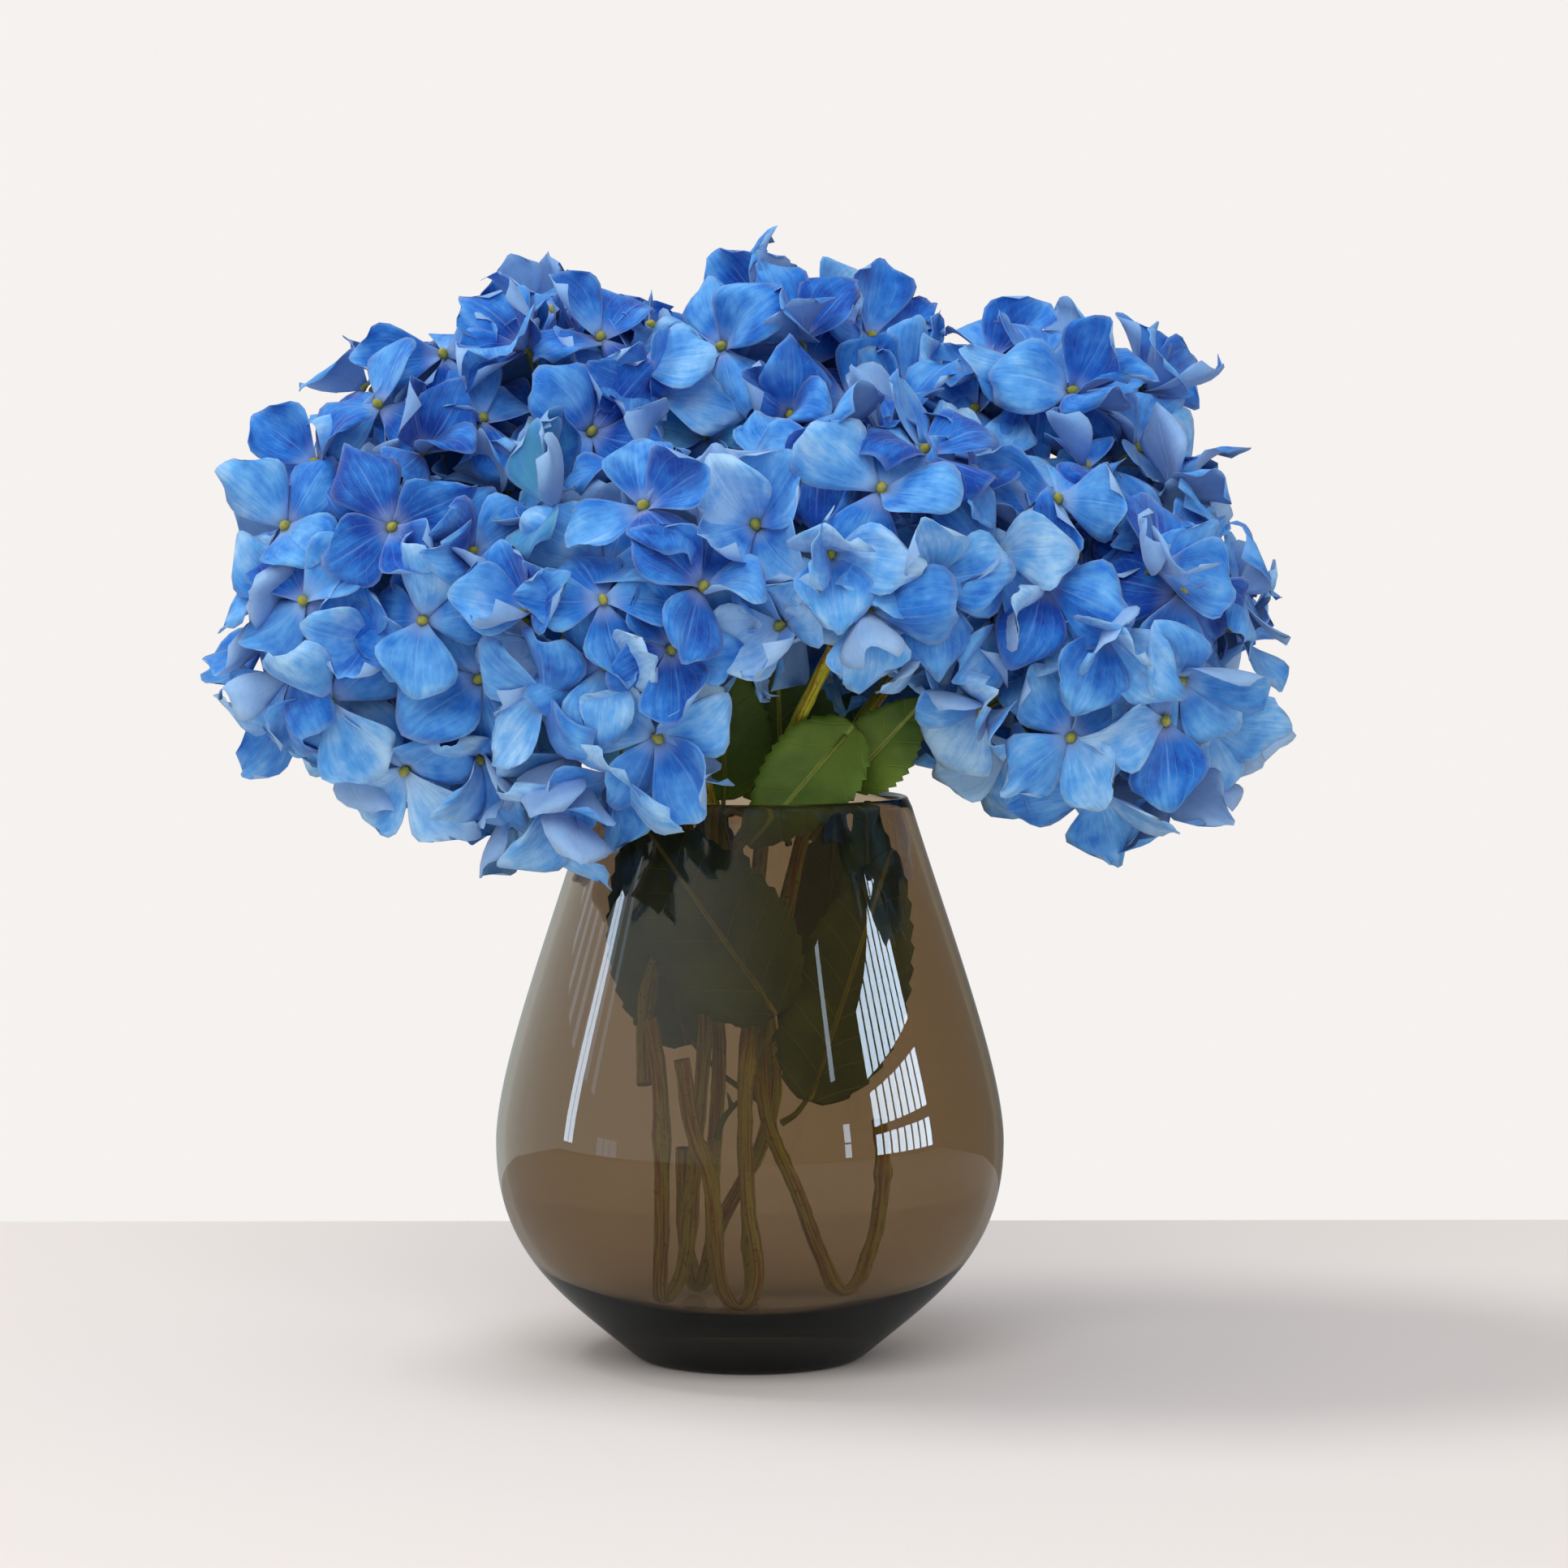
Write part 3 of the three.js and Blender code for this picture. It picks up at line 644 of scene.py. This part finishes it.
def shell(rows, thickness, edge_share=0.6):
    """A closed thin skin over a grid of points: the points and faces of its two sides and its
    rim, and for each point whether it is on the under side."""
    tall, wide = len(rows), len(rows[0])
    over, under = [], []
    for i in range(tall):
        for j in range(wide):
            up = rows[min(i + 1, tall - 1)][j] - rows[max(i - 1, 0)][j]
            right = rows[i][min(j + 1, wide - 1)] - rows[i][max(j - 1, 0)]
            normal = right.cross(up).normalized()
            rim = i in (0, tall - 1) or j in (0, wide - 1)
            half = thickness / 2 * (edge_share if rim else 1.0)
            over.append(rows[i][j] + normal * half)
            under.append(rows[i][j] - normal * half)
    shift = len(over)
    faces = []
    for i in range(tall - 1):
        for j in range(wide - 1):
            a = i * wide + j
            faces.append((a, a + 1, a + wide + 1, a + wide))
            faces.append((a + shift, a + wide + shift, a + wide + 1 + shift, a + 1 + shift))
    rim = list(range(wide)) + [i * wide + wide - 1 for i in range(1, tall)]
    rim += [(tall - 1) * wide + j for j in range(wide - 2, -1, -1)]
    rim += [i * wide for i in range(tall - 2, 0, -1)]
    for a, b in zip(rim, rim[1:] + rim[:1]):
        faces.append((a, a + shift, b + shift, b))
    return over + under, faces, [0.0] * shift + [1.0] * shift


def dress(mesh, flat, under):
    """Gives a mesh its own flat coordinates and marks its under side."""
    layer = mesh.uv_layers.new(name="blade")
    corners = [coordinate for loop in mesh.loops for coordinate in flat[loop.vertex_index]]
    layer.data.foreach_set("uv", corners)
    mark(mesh, "under", under)


def joined(name, *meshes):
    """Several meshes as one, each with its own material."""
    holders = [put(name, mesh) for mesh in meshes]
    with bpy.context.temp_override(active_object=holders[0], object=holders[0],
                                   selected_objects=holders, selected_editable_objects=holders):
        bpy.ops.object.join()
    mesh = holders[0].data
    bpy.data.objects.remove(holders[0])
    return mesh


def leaf_mesh(name, finish, seed):
    stalk_foot, base, tip, width, facing, arch = LEAVES[name]
    stalk_foot, base, tip = metres([stalk_foot, base, tip])
    width, arch = width / 1000, arch / 1000
    along = tip - base
    side = along.cross(Vector(facing)).normalized()
    up = side.cross(along).normalized()
    dice = random.Random(seed)
    wave = dice.uniform(0, 6)
    rows, flat = [], []
    count = TEETH * PER_TOOTH
    for i in range(count + 1):
        share = 0.012 + 0.976 * i / count
        tooth = (i % PER_TOOTH) / (PER_TOOTH - 1)
        reach = width / 2 * blade_outline(share)
        toothed = reach * 0.965 + min(0.0013, reach * 0.12) * tooth
        middle = base + along * share + up * arch * 4 * share * (1 - share)
        row = []
        for j in range(BLADE_COLUMNS + 1):
            across = 2 * j / BLADE_COLUMNS - 1
            far = abs(across)
            out = toothed if far > 0.99 else reach * 0.965
            quilt = math.sin((share * along.length - far * reach * 0.8) / 0.0085 * 2 * math.pi)
            lift = 0.16 * reach * far + 0.00025 * quilt * math.sin(math.pi * min(far, 1))
            lift += 0.0005 * far ** 3 * math.sin(share * 17 + wave + across)
            lift -= 0.0004 * math.exp(-(far / 0.08) ** 2)
            row.append(middle + side * across * out + up * lift)
            flat.append((0.5 + across * out / UV_UNIT, share * along.length / UV_UNIT))
        rows.append(row)
    # The grid's columns run along side, so its normal points along up.
    points, faces, under = shell(rows, BLADE)
    mesh = new_mesh(name, points, faces, finish, smooth=True)
    dress(mesh, flat + flat, under)
    midrib = base + along * 0.1 + up * arch * 0.36
    bend = stalk_foot.lerp(base, 0.55)
    run_in = [base + along * s + up * (arch * 4 * s * (1 - s) - 0.0003) for s in (0.3, 0.55, 0.85)]
    path = smooth_path([stalk_foot, bend, midrib, *run_in], 5)
    sizes = [0.0013 - 0.0011 * (i / (len(path) - 1)) ** 0.8 for i in range(len(path))]
    stalk = bar_mesh(name + "_stalk", [(path, sizes)], 8, stalk_finish)
    return joined(name, mesh, stalk)


stalk_finish = mottled_finish("yellow green stalk", 160.0, 3.0, rgb(104, 112, 34),
                              rgb(158, 162, 70), 0.5, 0.3, 0.0004)


def leaf_finish(name, dark, light, vein_colour):
    finish, tree = new_material(name)
    across, along = node(tree, "UVMap", uv_map="blade").axes()
    across = across - 0.5
    under = attribute(tree, "under")
    cloud = noise(tree, 45.0, 4.0)
    cell = node(tree, "TexVoronoi", {"Vector": object_place(tree), "Scale": 900.0},
                feature="DISTANCE_TO_EDGE")
    wander = (cloud - 0.5) * 0.05
    midrib = abs(across).fade(0.022, 0.008)
    side_veins = (along - (abs(across) ** 0.8) * 0.62 + wander).line(5.0, 0.030)
    side_veins = side_veins * abs(across).fade(0.6, 0.1)
    small = (along + abs(across) * 1.1 + wander).line(31.0, 0.12) * 0.35
    net = cell.fade(0.10, 0.0) * 0.3
    veins = midrib.maths("MAXIMUM", side_veins * 0.6)
    blade = cloud.fade(0.3, 0.7).colours(dark, light)
    blade = (small.maths("MAXIMUM", net) * 0.5).colours(blade, light)
    blade = (veins * 0.85).colours(blade, vein_colour)
    paler = (under * 0.55).colours(blade, rgb(128, 142, 92))
    height = veins * -1.0 + small * -0.3 + net * -0.25
    put_solid(tree, paler, 0.42 + cloud * 0.25, height, 0.7, 0.0006)
    return finish


deep_leaf = leaf_finish("deep green leaf", rgb(62, 88, 18), rgb(98, 124, 34),
                        rgb(186, 190, 66))
pale_leaf = leaf_finish("light green leaf", rgb(78, 110, 26), rgb(116, 146, 44),
                        rgb(164, 182, 84))
grey_leaf = leaf_finish("grey green leaf", rgb(82, 104, 42), rgb(112, 134, 60),
                        rgb(146, 158, 84))
LEAF_LOOKS = {"mouth_front": pale_leaf, "right_edge": pale_leaf, "back_left": grey_leaf,
              "mouth_right": pale_leaf, "mouth_left": pale_leaf, "rim_left": grey_leaf}

for order, name in enumerate(LEAVES):
    mesh = leaf_mesh(name, LEAF_LOOKS.get(name, deep_leaf), 40 + order)
    piece("leaf_" + name + "_blade", mesh, "leaf_" + name)

# --------------------
# The blooms: seven mopheads. Each is a dome of fabric florets with four broad petals round a
# small bead, and every floret stands on a thin stalk that branches from the top of the stem.

# centre and radius of each head, in mm
BLOOMS = {
    "left": ((-106, -5, 262), 75),
    "top_left": ((-64, 42, 303), 78),
    "top_back": ((12, 52, 300), 81),
    "front_left": ((-40, -58, 259), 60),
    "front_right": ((40, -57, 275), 58),
    "top_right": ((88, 38, 288), 76),
    "right": ((112, -15, 252), 73),
}
# Florets that turn their face to the front, by where they lie across and up, in mm.
FACING_FLORETS = [
    (-126, 325), (-93, 320), (-122, 286), (-96, 278), (-156, 286), (-55, 319), (-34, 331),
    (-52, 349), (-74, 297), (-37, 291), (-19, 266), (-59, 212), (6, 287), (18, 349),
    (54, 323), (45, 298), (58, 310), (41, 260), (29, 278), (61, 270), (14, 256), (81, 278),
    (81, 257), (107, 294), (138, 272), (102, 267), (121, 252), (83, 226.5), (141, 223),
    (111, 218), (98, 338), (109, 331), (132, 332), (147, 307), (-112, 256), (-33, 219),
    (-83, 196), (-150, 262), (-142, 230), (-118, 208), (146, 264), (146, 236), (120, 200),
    (-128, 334), (-102, 344), (-76, 346), (-146, 306), (-8, 346), (-40, 340), (-46, 206),
    (-62, 197), (-94, 212),
]
TURQUOISE_FLORET = (-74, 297)
PETAL_LENGTH = 0.0285
PETAL_WIDTH = 0.0262
PETAL_SKIN = 0.00034
PETAL_ROWS = 7
PETAL_COLUMNS = 8
# how far along, and half the width there for a round petal and for a pointed one
PETAL_SHAPE = [(0.0, 0.12, 0.11), (0.16, 0.40, 0.34), (0.36, 0.78, 0.70), (0.56, 0.98, 0.96),
               (0.72, 1.0, 0.97), (0.87, 0.88, 0.76), (1.0, 0.60, 0.34)]
FLORET_KINDS = 24
FLORET_GAP = 0.0268
FLORET_SET_BACK = 0.0145
# gap between florets, least and most depth under the skin, and how far they tumble
SKIN_LAYERS = [(FLORET_GAP, -0.002, 0.006, 0.42), (FLORET_GAP * 0.88, -0.001, 0.009, 0.55),
               (FLORET_GAP * 0.84, 0.010, 0.020, 0.50)]
SKIN_TRIES = 700
# share of the head's radius, and the gap between florets
DEEP_LAYERS = [(0.70, 0.0205), (0.46, 0.025)]
DEEP_TRIES = 420
TOWARDS_FRONT = Vector((0, -0.40, 0.05))
FACING_TUMBLE = 0.36
TURQUOISE_SHARE = 0.03
# the least room between a floret's middle and the glass, or a stem or leaf
FACING_ROOM = 0.030
SKIN_ROOM = 0.017
DEEP_ROOM = 0.022
STEM_ROOM = 0.017
# how far the glass goes straight down from the rim, and how fast it widens below that
NECK = 0.02
NECK_SLOPE = 0.34
# the gap over the mouth where the leaves show, from left to right and its top
MOUTH_GAP = (-0.024, 0.068)
MOUTH_GAP_TOP = 0.250
BEAD_RADIUS = 0.0019
BRANCHES = 9
GOLDEN_TURN = 2.39996


def petal_half_width(share, pointed):
    for (a, *low), (b, *high) in zip(PETAL_SHAPE, PETAL_SHAPE[1:]):
        if share <= b:
            t = (share - a) / (b - a)
            wide, slim = (p + (q - p) * t for p, q in zip(low, high))
            return wide + (slim - wide) * pointed
    return 0.0


def petal(dice, lift, curl, fold):
    """One petal that points along +y from the floret's middle, with its face up."""
    length = PETAL_LENGTH * dice.uniform(0.88, 1.07)
    half = PETAL_WIDTH / 2 * dice.uniform(0.86, 1.12)
    pointed = dice.random() ** 2.2
    point = 0.02 + 0.10 * pointed
    lean = dice.uniform(-0.20, 0.20)
    tip_curl = dice.uniform(-0.9, 0.45)
    cup = dice.uniform(-0.34, 0.40)
    ruffle = dice.uniform(0.0006, 0.0025)
    waves, phase = dice.uniform(0.9, 2.4), dice.uniform(0, 6.28)
    twist = math.radians(dice.uniform(-36, 36))
    rows, flat = [], []
    for i in range(PETAL_ROWS + 1):
        v = i / PETAL_ROWS
        wide = half * petal_half_width(v, pointed)
        bend = curl * v + tip_curl * v ** 3
        row = []
        for j in range(PETAL_COLUMNS + 1):
            u = 2 * j / PETAL_COLUMNS - 1
            x = wide * u + lean * length * v * v
            y = length * (v - 0.20 * u * u * v * v + point * v ** 5 * (1 - abs(u)))
            z = fold * abs(u) ** 1.25 * wide + cup * u * u * half * v
            z += ruffle * v * v * math.sin(waves * math.pi * u + phase) * (0.4 + abs(u))
            z += length * v * bend / 2
            y *= 1 - 0.15 * bend * bend
            turned_to = Matrix.Rotation(twist * v, 3, "Y") @ Vector((x, y, z))
            row.append(Matrix.Rotation(lift, 3, "X") @ turned_to)
            flat.append((j / PETAL_COLUMNS, v))
        rows.append(row)
    points, faces, under = shell(rows, PETAL_SKIN, 0.5)
    return points, faces, flat + flat, under


def floret_mesh(kind):
    dice = random.Random(700 + kind)
    open_lift = math.radians(dice.choice([-4, 4, 10, 16, 24, 34]))
    points, faces, flat, under, own = [], [], [], [], []
    for quarter in range(4):
        lift = open_lift + math.radians(dice.uniform(-11, 13))
        curl = dice.uniform(-0.45, 0.30)
        fold = dice.choice([-0.42, -0.18, 0.26, 0.48, 0.70]) * dice.uniform(0.6, 1.2)
        chance = dice.random()
        if chance < 0.27:
            lift += math.radians(dice.uniform(26, 62))
            curl = dice.uniform(-0.4, 0.35)
        elif chance < 0.40:
            lift -= math.radians(dice.uniform(18, 38))
        some, some_faces, some_flat, some_under = petal(dice, lift, curl, fold)
        angle = math.radians(90 * quarter + dice.uniform(-9, 9))
        level = 0.0006 if quarter % 2 else -0.0003
        turn = Matrix.Rotation(angle, 3, "Z")
        start = len(points)
        points += [turn @ (p + Vector((0, 0.0008, level))) for p in some]
        faces += [tuple(start + corner for corner in face) for face in some_faces]
        flat += some_flat
        under += some_under
        own += [dice.random()] * len(some)
    mesh = new_mesh("floret", points, faces, smooth=True)
    dress(mesh, flat, under)
    mark(mesh, "own", own)
    return mesh


def bead_mesh():
    """The bud in a floret's middle: a small ball that stands a little taller than it is wide."""
    profile = [Vector((0, -0.9)), Vector((0.75, -0.6)), Vector((1.0, 0.0)), Vector((0.8, 0.7)),
               Vector((0.35, 1.1)), Vector((0, 1.15))]
    points, faces = turned([p * BEAD_RADIUS for p in profile], 8)
    points = [(x * 0.9, y * 1.15, z + BEAD_RADIUS * 0.7) for x, y, z in points]
    return new_mesh("bead", points, faces, smooth=True)


def shelf(name, meshes):
    """A collection of shapes to pick from, kept out of the scene."""
    kept = bpy.data.collections.new(name)
    for number, mesh in enumerate(meshes):
        kept.objects.link(bpy.data.objects.new(f"{name}_{number:02d}", mesh))
    return kept


# Sets one shape from a shelf on every point, turned, sized and chosen by the point's own values.
set_out, given = geometry_tree("shapes on points", [
    ("Shapes", "Collection"), ("Finish", "Material")])
kind, turn, size = (
    node(set_out, "GeometryNodeInputNamedAttribute", {"Name": name}, "Attribute", data_type=held)
    for name, held in (("kind", "INT"), ("turn", "FLOAT_VECTOR"), ("size", "FLOAT")))
shapes = node(set_out, "GeometryNodeCollectionInfo", {
    "Collection": given["Shapes"], "Separate Children": True, "Reset Children": True})
placed = node(set_out, "GeometryNodeInstanceOnPoints", {
    "Points": node(set_out, "GeometryNodeMeshToPoints", {"Mesh": given["Geometry"]}),
    "Instance": shapes, "Pick Instance": True, "Instance Index": kind,
    "Rotation": node(set_out, "FunctionNodeEulerToRotation", {"Euler": turn}), "Scale": size})
close_tree(set_out, placed, given["Finish"])


petal_finish, tree = new_material("blue fabric petal")
across, along = node(tree, "UVMap", uv_map="blade").axes()
across = across * 2 - 1
under, tint, aqua, own = (attribute(tree, name) for name in ("under", "tint", "aqua", "own"))
wide_cloud = noise(tree, 75.0, 3.0, roughness=0.55)
close_cloud = noise(tree, 330.0, 4.0, roughness=0.6)
own_place = node(tree, "CombineXYZ", (across * 5.5, along * 1.9, tint * 40.0 + own * 17.0))
fibre = noise(tree, 1.5, 4.0, own_place, 0.62)
wander = (close_cloud - 0.5) * 0.05
spread = across + wander
main_veins = (spread * 0.5 + 0.5).line(5.0, 0.040)
branches = (along * 1.15 - abs(across) * 0.55 + (close_cloud - 0.5) * 0.12).line(6.0, 0.05)
branches = branches * abs(across).fade(0.05, 0.2) * along.fade(0.25, 0.5) * 0.55
midrib = abs(spread).fade(0.055, 0.0)
veins = main_veins.maths("MAXIMUM", midrib) * along.fade(1.0, 0.55)
veins = veins.maths("MAXIMUM", branches)
halo = (along + (fibre - 0.5) * 0.16).fade(0.30, 0.03)
rim = abs(across).fade(0.90, 0.985).maths("MAXIMUM", along.fade(0.93, 0.99))
# tint is the paleness of the outer florets, and painted shade (0, the darkest blue) on the deep
# ones.
depth = (wide_cloud * 1.05 + tint * 0.42 + own * 0.40 + (fibre - 0.5) * 0.50
         + along * 0.14 - 0.56)
blue = node(tree, "ValToRGB", (depth,), stops=[
    (0.05, rgb(12, 72, 172)), (0.30, rgb(38, 120, 212)), (0.58, rgb(94, 168, 236)),
    (0.90, rgb(170, 214, 250))])
turquoise = wide_cloud.colours(rgb(24, 112, 172), rgb(92, 170, 206))
colour = (aqua * wide_cloud.fade(0.25, 0.6)).colours(blue, turquoise)
colour = (veins * 0.24).colours(colour, rgb(166, 200, 246))
colour = (halo * 0.50).colours(colour, rgb(170, 196, 238))
colour = (rim * 0.20).colours(colour, rgb(168, 200, 244))
back = (wide_cloud * 0.6 + tint * 0.4).colours(rgb(104, 158, 218), rgb(176, 206, 242))
back = (veins * 0.20).colours(back, rgb(196, 210, 238))
colour = (under * 0.80).colours(colour, back)
creases = veins * -0.8 + fibre * 0.5 + close_cloud * 0.25
put_solid(tree, colour, 0.62 + fibre * 0.15, creases, 0.45, 0.0005,
          {"Specular IOR Level": 0.3, "Sheen Weight": 0.15, "Sheen Roughness": 0.5})

bead_finish = mottled_finish("yellow olive bead", 700.0, 2.0, rgb(122, 124, 40),
                             rgb(186, 184, 84), 0.5, 0.5, 0.0004)

floret_shelf = shelf("florets", [floret_mesh(kind) for kind in range(FLORET_KINDS)])
bead_shelf = shelf("beads", [bead_mesh()])
heads = {name: (Vector(centre) / 1000, radius / 1000)
         for name, (centre, radius) in BLOOMS.items()}


def own_share(name, point):
    """How far a point lies inside a head's own part of the bunch, in metres."""
    centre, radius = heads[name]
    least = 1.0
    for other, (far, far_radius) in heads.items():
        if other != name:
            way = far - centre
            limit = (way.length_squared + radius ** 2 - far_radius ** 2) / (2 * way.length)
            least = min(least, limit - (point - centre).dot(way.normalized()))
    return least


def clear_of_vase(point, room):
    """True if a floret at point keeps off the glass and out of the mouth."""
    if point.z > HEIGHT + room:
        return True
    down = HEIGHT - point.z
    widest = RIM if down < NECK else RIM + down * NECK_SLOPE
    return Vector((point.x, point.y)).length > widest + room


def first_hit(across, up):
    """Where the line of sight through a place above the vase's axis first meets a head, or
    where it passes nearest to one."""
    way = (Vector((across, 0, up)) - EYE).normalized()
    best, nearest = None, None
    for name, (centre, radius) in heads.items():
        reach = radius - FLORET_SET_BACK
        middle = (centre - EYE).dot(way)
        off = math.sqrt((centre - EYE).length_squared - middle ** 2)
        if off < reach:
            point = EYE + way * (middle - math.sqrt(reach ** 2 - off ** 2))
            if own_share(name, point) > -0.006 and (best is None or middle < best[0]):
                best = (middle, name, point)
        elif nearest is None or off - reach < nearest[0]:
            nearest = (off - reach, name, EYE + way * middle)
    return (best or nearest)[1:]


def before_mouth(point):
    """True where a floret would hang in front of the leaves in the vase's mouth."""
    grown = EYE.y / (EYE.y - point.y)
    across = point.x * grown
    up = EYE.z + (point.z - EYE.z) * grown
    return point.y < 0.03 and MOUTH_GAP[0] < across < MOUTH_GAP[1] and up < MOUTH_GAP_TOP


kept_clear = [step for path in stem_paths.values() for step in path]
for leaf in LEAVES.values():
    base, tip = metres(leaf[1:3])
    kept_clear += [base.lerp(tip, step / 6) for step in range(7)]


def crowds(point):
    """True if a floret at point would grow through a stem or a leaf."""
    return any((point - place).length < STEM_ROOM for place in kept_clear)


dice = random.Random(2718)
florets = {name: [] for name in heads}
taken = []


def fits(name, point, gap, inside, room):
    """True if a floret at point stays in its own head and meets nothing else."""
    return (own_share(name, point) >= inside and clear_of_vase(point, room)
            and not before_mouth(point) and not crowds(point)
            and all((point - other).length >= gap for other in taken))


def facing(height, turn):
    """The way out of a ball at a height of -1 to 1 and a turn round the upright."""
    flat_part = math.sqrt(1 - height * height)
    return Vector((flat_part * math.cos(turn), flat_part * math.sin(turn), height))


def any_way():
    return facing(dice.uniform(-1, 1), dice.uniform(0, 2 * math.pi))


def leaning(way, most):
    """A way out tipped by chance."""
    return (way + Vector([dice.uniform(-most, most) for _ in range(3)])).normalized()


def paleness(name, point):
    """Florets low on a head are paler, and those on top a deep blue, with a random spread."""
    centre, radius = heads[name]
    low_down = 0.5 - (point.z - centre.z) / radius / 2
    return min(1.1, max(0.0, dice.uniform(-0.05, 0.75) + 1.0 * (low_down - 0.33)))


def add_floret(name, point, normal, kind, shade, aqua=0.0, size=1.0):
    florets[name].append((point, normal, kind, shade, aqua, size, dice.uniform(0, 6.283)))
    taken.append(point)


for across, up in FACING_FLORETS:
    name, point = first_hit(across / 1000, up / 1000)
    nearer = (EYE - point).normalized() * 0.002
    while not clear_of_vase(point, FACING_ROOM):
        point += nearer
    outward = (point - heads[name][0]).normalized()
    normal = leaning(outward + TOWARDS_FRONT, FACING_TUMBLE)
    add_floret(name, point + outward * 0.004, normal, dice.randrange(FLORET_KINDS),
               paleness(name, point), 1.0 if (across, up) == TURQUOISE_FLORET else 0.0,
               dice.uniform(0.97, 1.08))

# The rest fill the domes: first the outer skin, then the places that it leaves open.
for gap, outer, inner, tumble in SKIN_LAYERS:
    for name, (centre, radius) in heads.items():
        for _ in range(SKIN_TRIES):
            outward = any_way()
            point = centre + outward * (radius - FLORET_SET_BACK - dice.uniform(outer, inner))
            if fits(name, point, gap, 0.001, SKIN_ROOM):
                add_floret(name, point, leaning(outward, tumble), dice.randrange(FLORET_KINDS),
                           paleness(name, point), 1.0 if dice.random() < TURQUOISE_SHARE else 0.0,
                           dice.uniform(0.90, 1.06))

# A few florets sit deeper, where the gaps between the outer ones show them. They get a tone of 0,
# the darkest blue, as painted shade for the inside of the head.
for depth_share, gap in DEEP_LAYERS:
    for name, (centre, radius) in heads.items():
        for _ in range(DEEP_TRIES):
            outward = any_way()
            point = centre + outward * radius * depth_share
            if fits(name, point, gap, 0.003, DEEP_ROOM):
                # The tone of 0.0 here is painted shade: the inside of the head coloured its
                # darkest blue.
                add_floret(name, point, outward, dice.randrange(FLORET_KINDS), 0.0, 0.0, 0.9)

# One more hangs behind the leaves in the mouth, where the heads leave a gap between them.
add_floret("top_back", Vector((0.022, 0.020, 0.250)), Vector((0, -0.8, -0.6)), 5, 0.0)


def points_mesh(name, rows, kinds):
    """A point for each floret, with its values on it."""
    mesh = new_mesh(name, [row[0] for row in rows])
    turns = []
    for row in rows:
        normal, spin = row[1], row[6]
        turned_to = normal.to_track_quat("Z", "Y").to_matrix() @ Matrix.Rotation(spin, 3, "Z")
        turns += list(turned_to.to_euler())
    mark(mesh, "turn", turns, "FLOAT_VECTOR", "vector")
    mark(mesh, "kind", [row[2] % kinds for row in rows], "INT")
    for label, column in (("tint", 3), ("aqua", 4), ("size", 5)):
        mark(mesh, label, [row[column] for row in rows])
    return mesh


def set_shapes(name, rows, chosen_shelf, kinds, finish):
    return finished_mesh(name, points_mesh(name, rows, kinds), set_out,
                         {"Shapes": chosen_shelf, "Finish": finish})


def stalk_lines(name, rows):
    """The branches from the top of the stem and the stalk of every floret."""
    centre, radius = heads[name]
    seat = stem_paths[name][-1]
    tops = []
    for number in range(BRANCHES):
        way = facing(1 - 2 * (number + 0.5) / BRANCHES, number * GOLDEN_TURN)
        top = centre + way * radius * 0.42
        if own_share(name, top) > 0.004 and clear_of_vase(top, 0.008):
            tops.append(top)
    lines = []
    for top in tops:
        middle = seat.lerp(top, 0.5) + Vector((0, 0, 0.006))
        path = bezier([seat, middle, top], 6)
        lines.append((path, [0.0015 - 0.0006 * i / 6 for i in range(7)]))
    for row in rows:
        point, normal = row[0], row[1]
        top = min(tops, key=lambda place: (place - point).length)
        reach = (point - top).length
        path = bezier([top, point - normal * reach * 0.55, point - normal * 0.0012], 7)
        lines.append((path, [0.00062] * 7 + [0.0010]))
    return lines


for name, rows in florets.items():
    petals = set_shapes("petals_" + name, rows, floret_shelf, FLORET_KINDS, petal_finish)
    piece("petals_" + name, petals, "bloom_" + name)
    beads = set_shapes("beads_" + name, rows, bead_shelf, 1, bead_finish)
    piece("beads_" + name, beads, "bloom_" + name)
    stalks = bar_mesh("stalks_" + name, stalk_lines(name, rows), 6, stalk_finish)
    piece("stalks_" + name, stalks, "bloom_" + name)

for kept in (floret_shelf, bead_shelf):
    for shape in list(kept.objects):
        bpy.data.objects.remove(shape)
    bpy.data.collections.remove(kept)
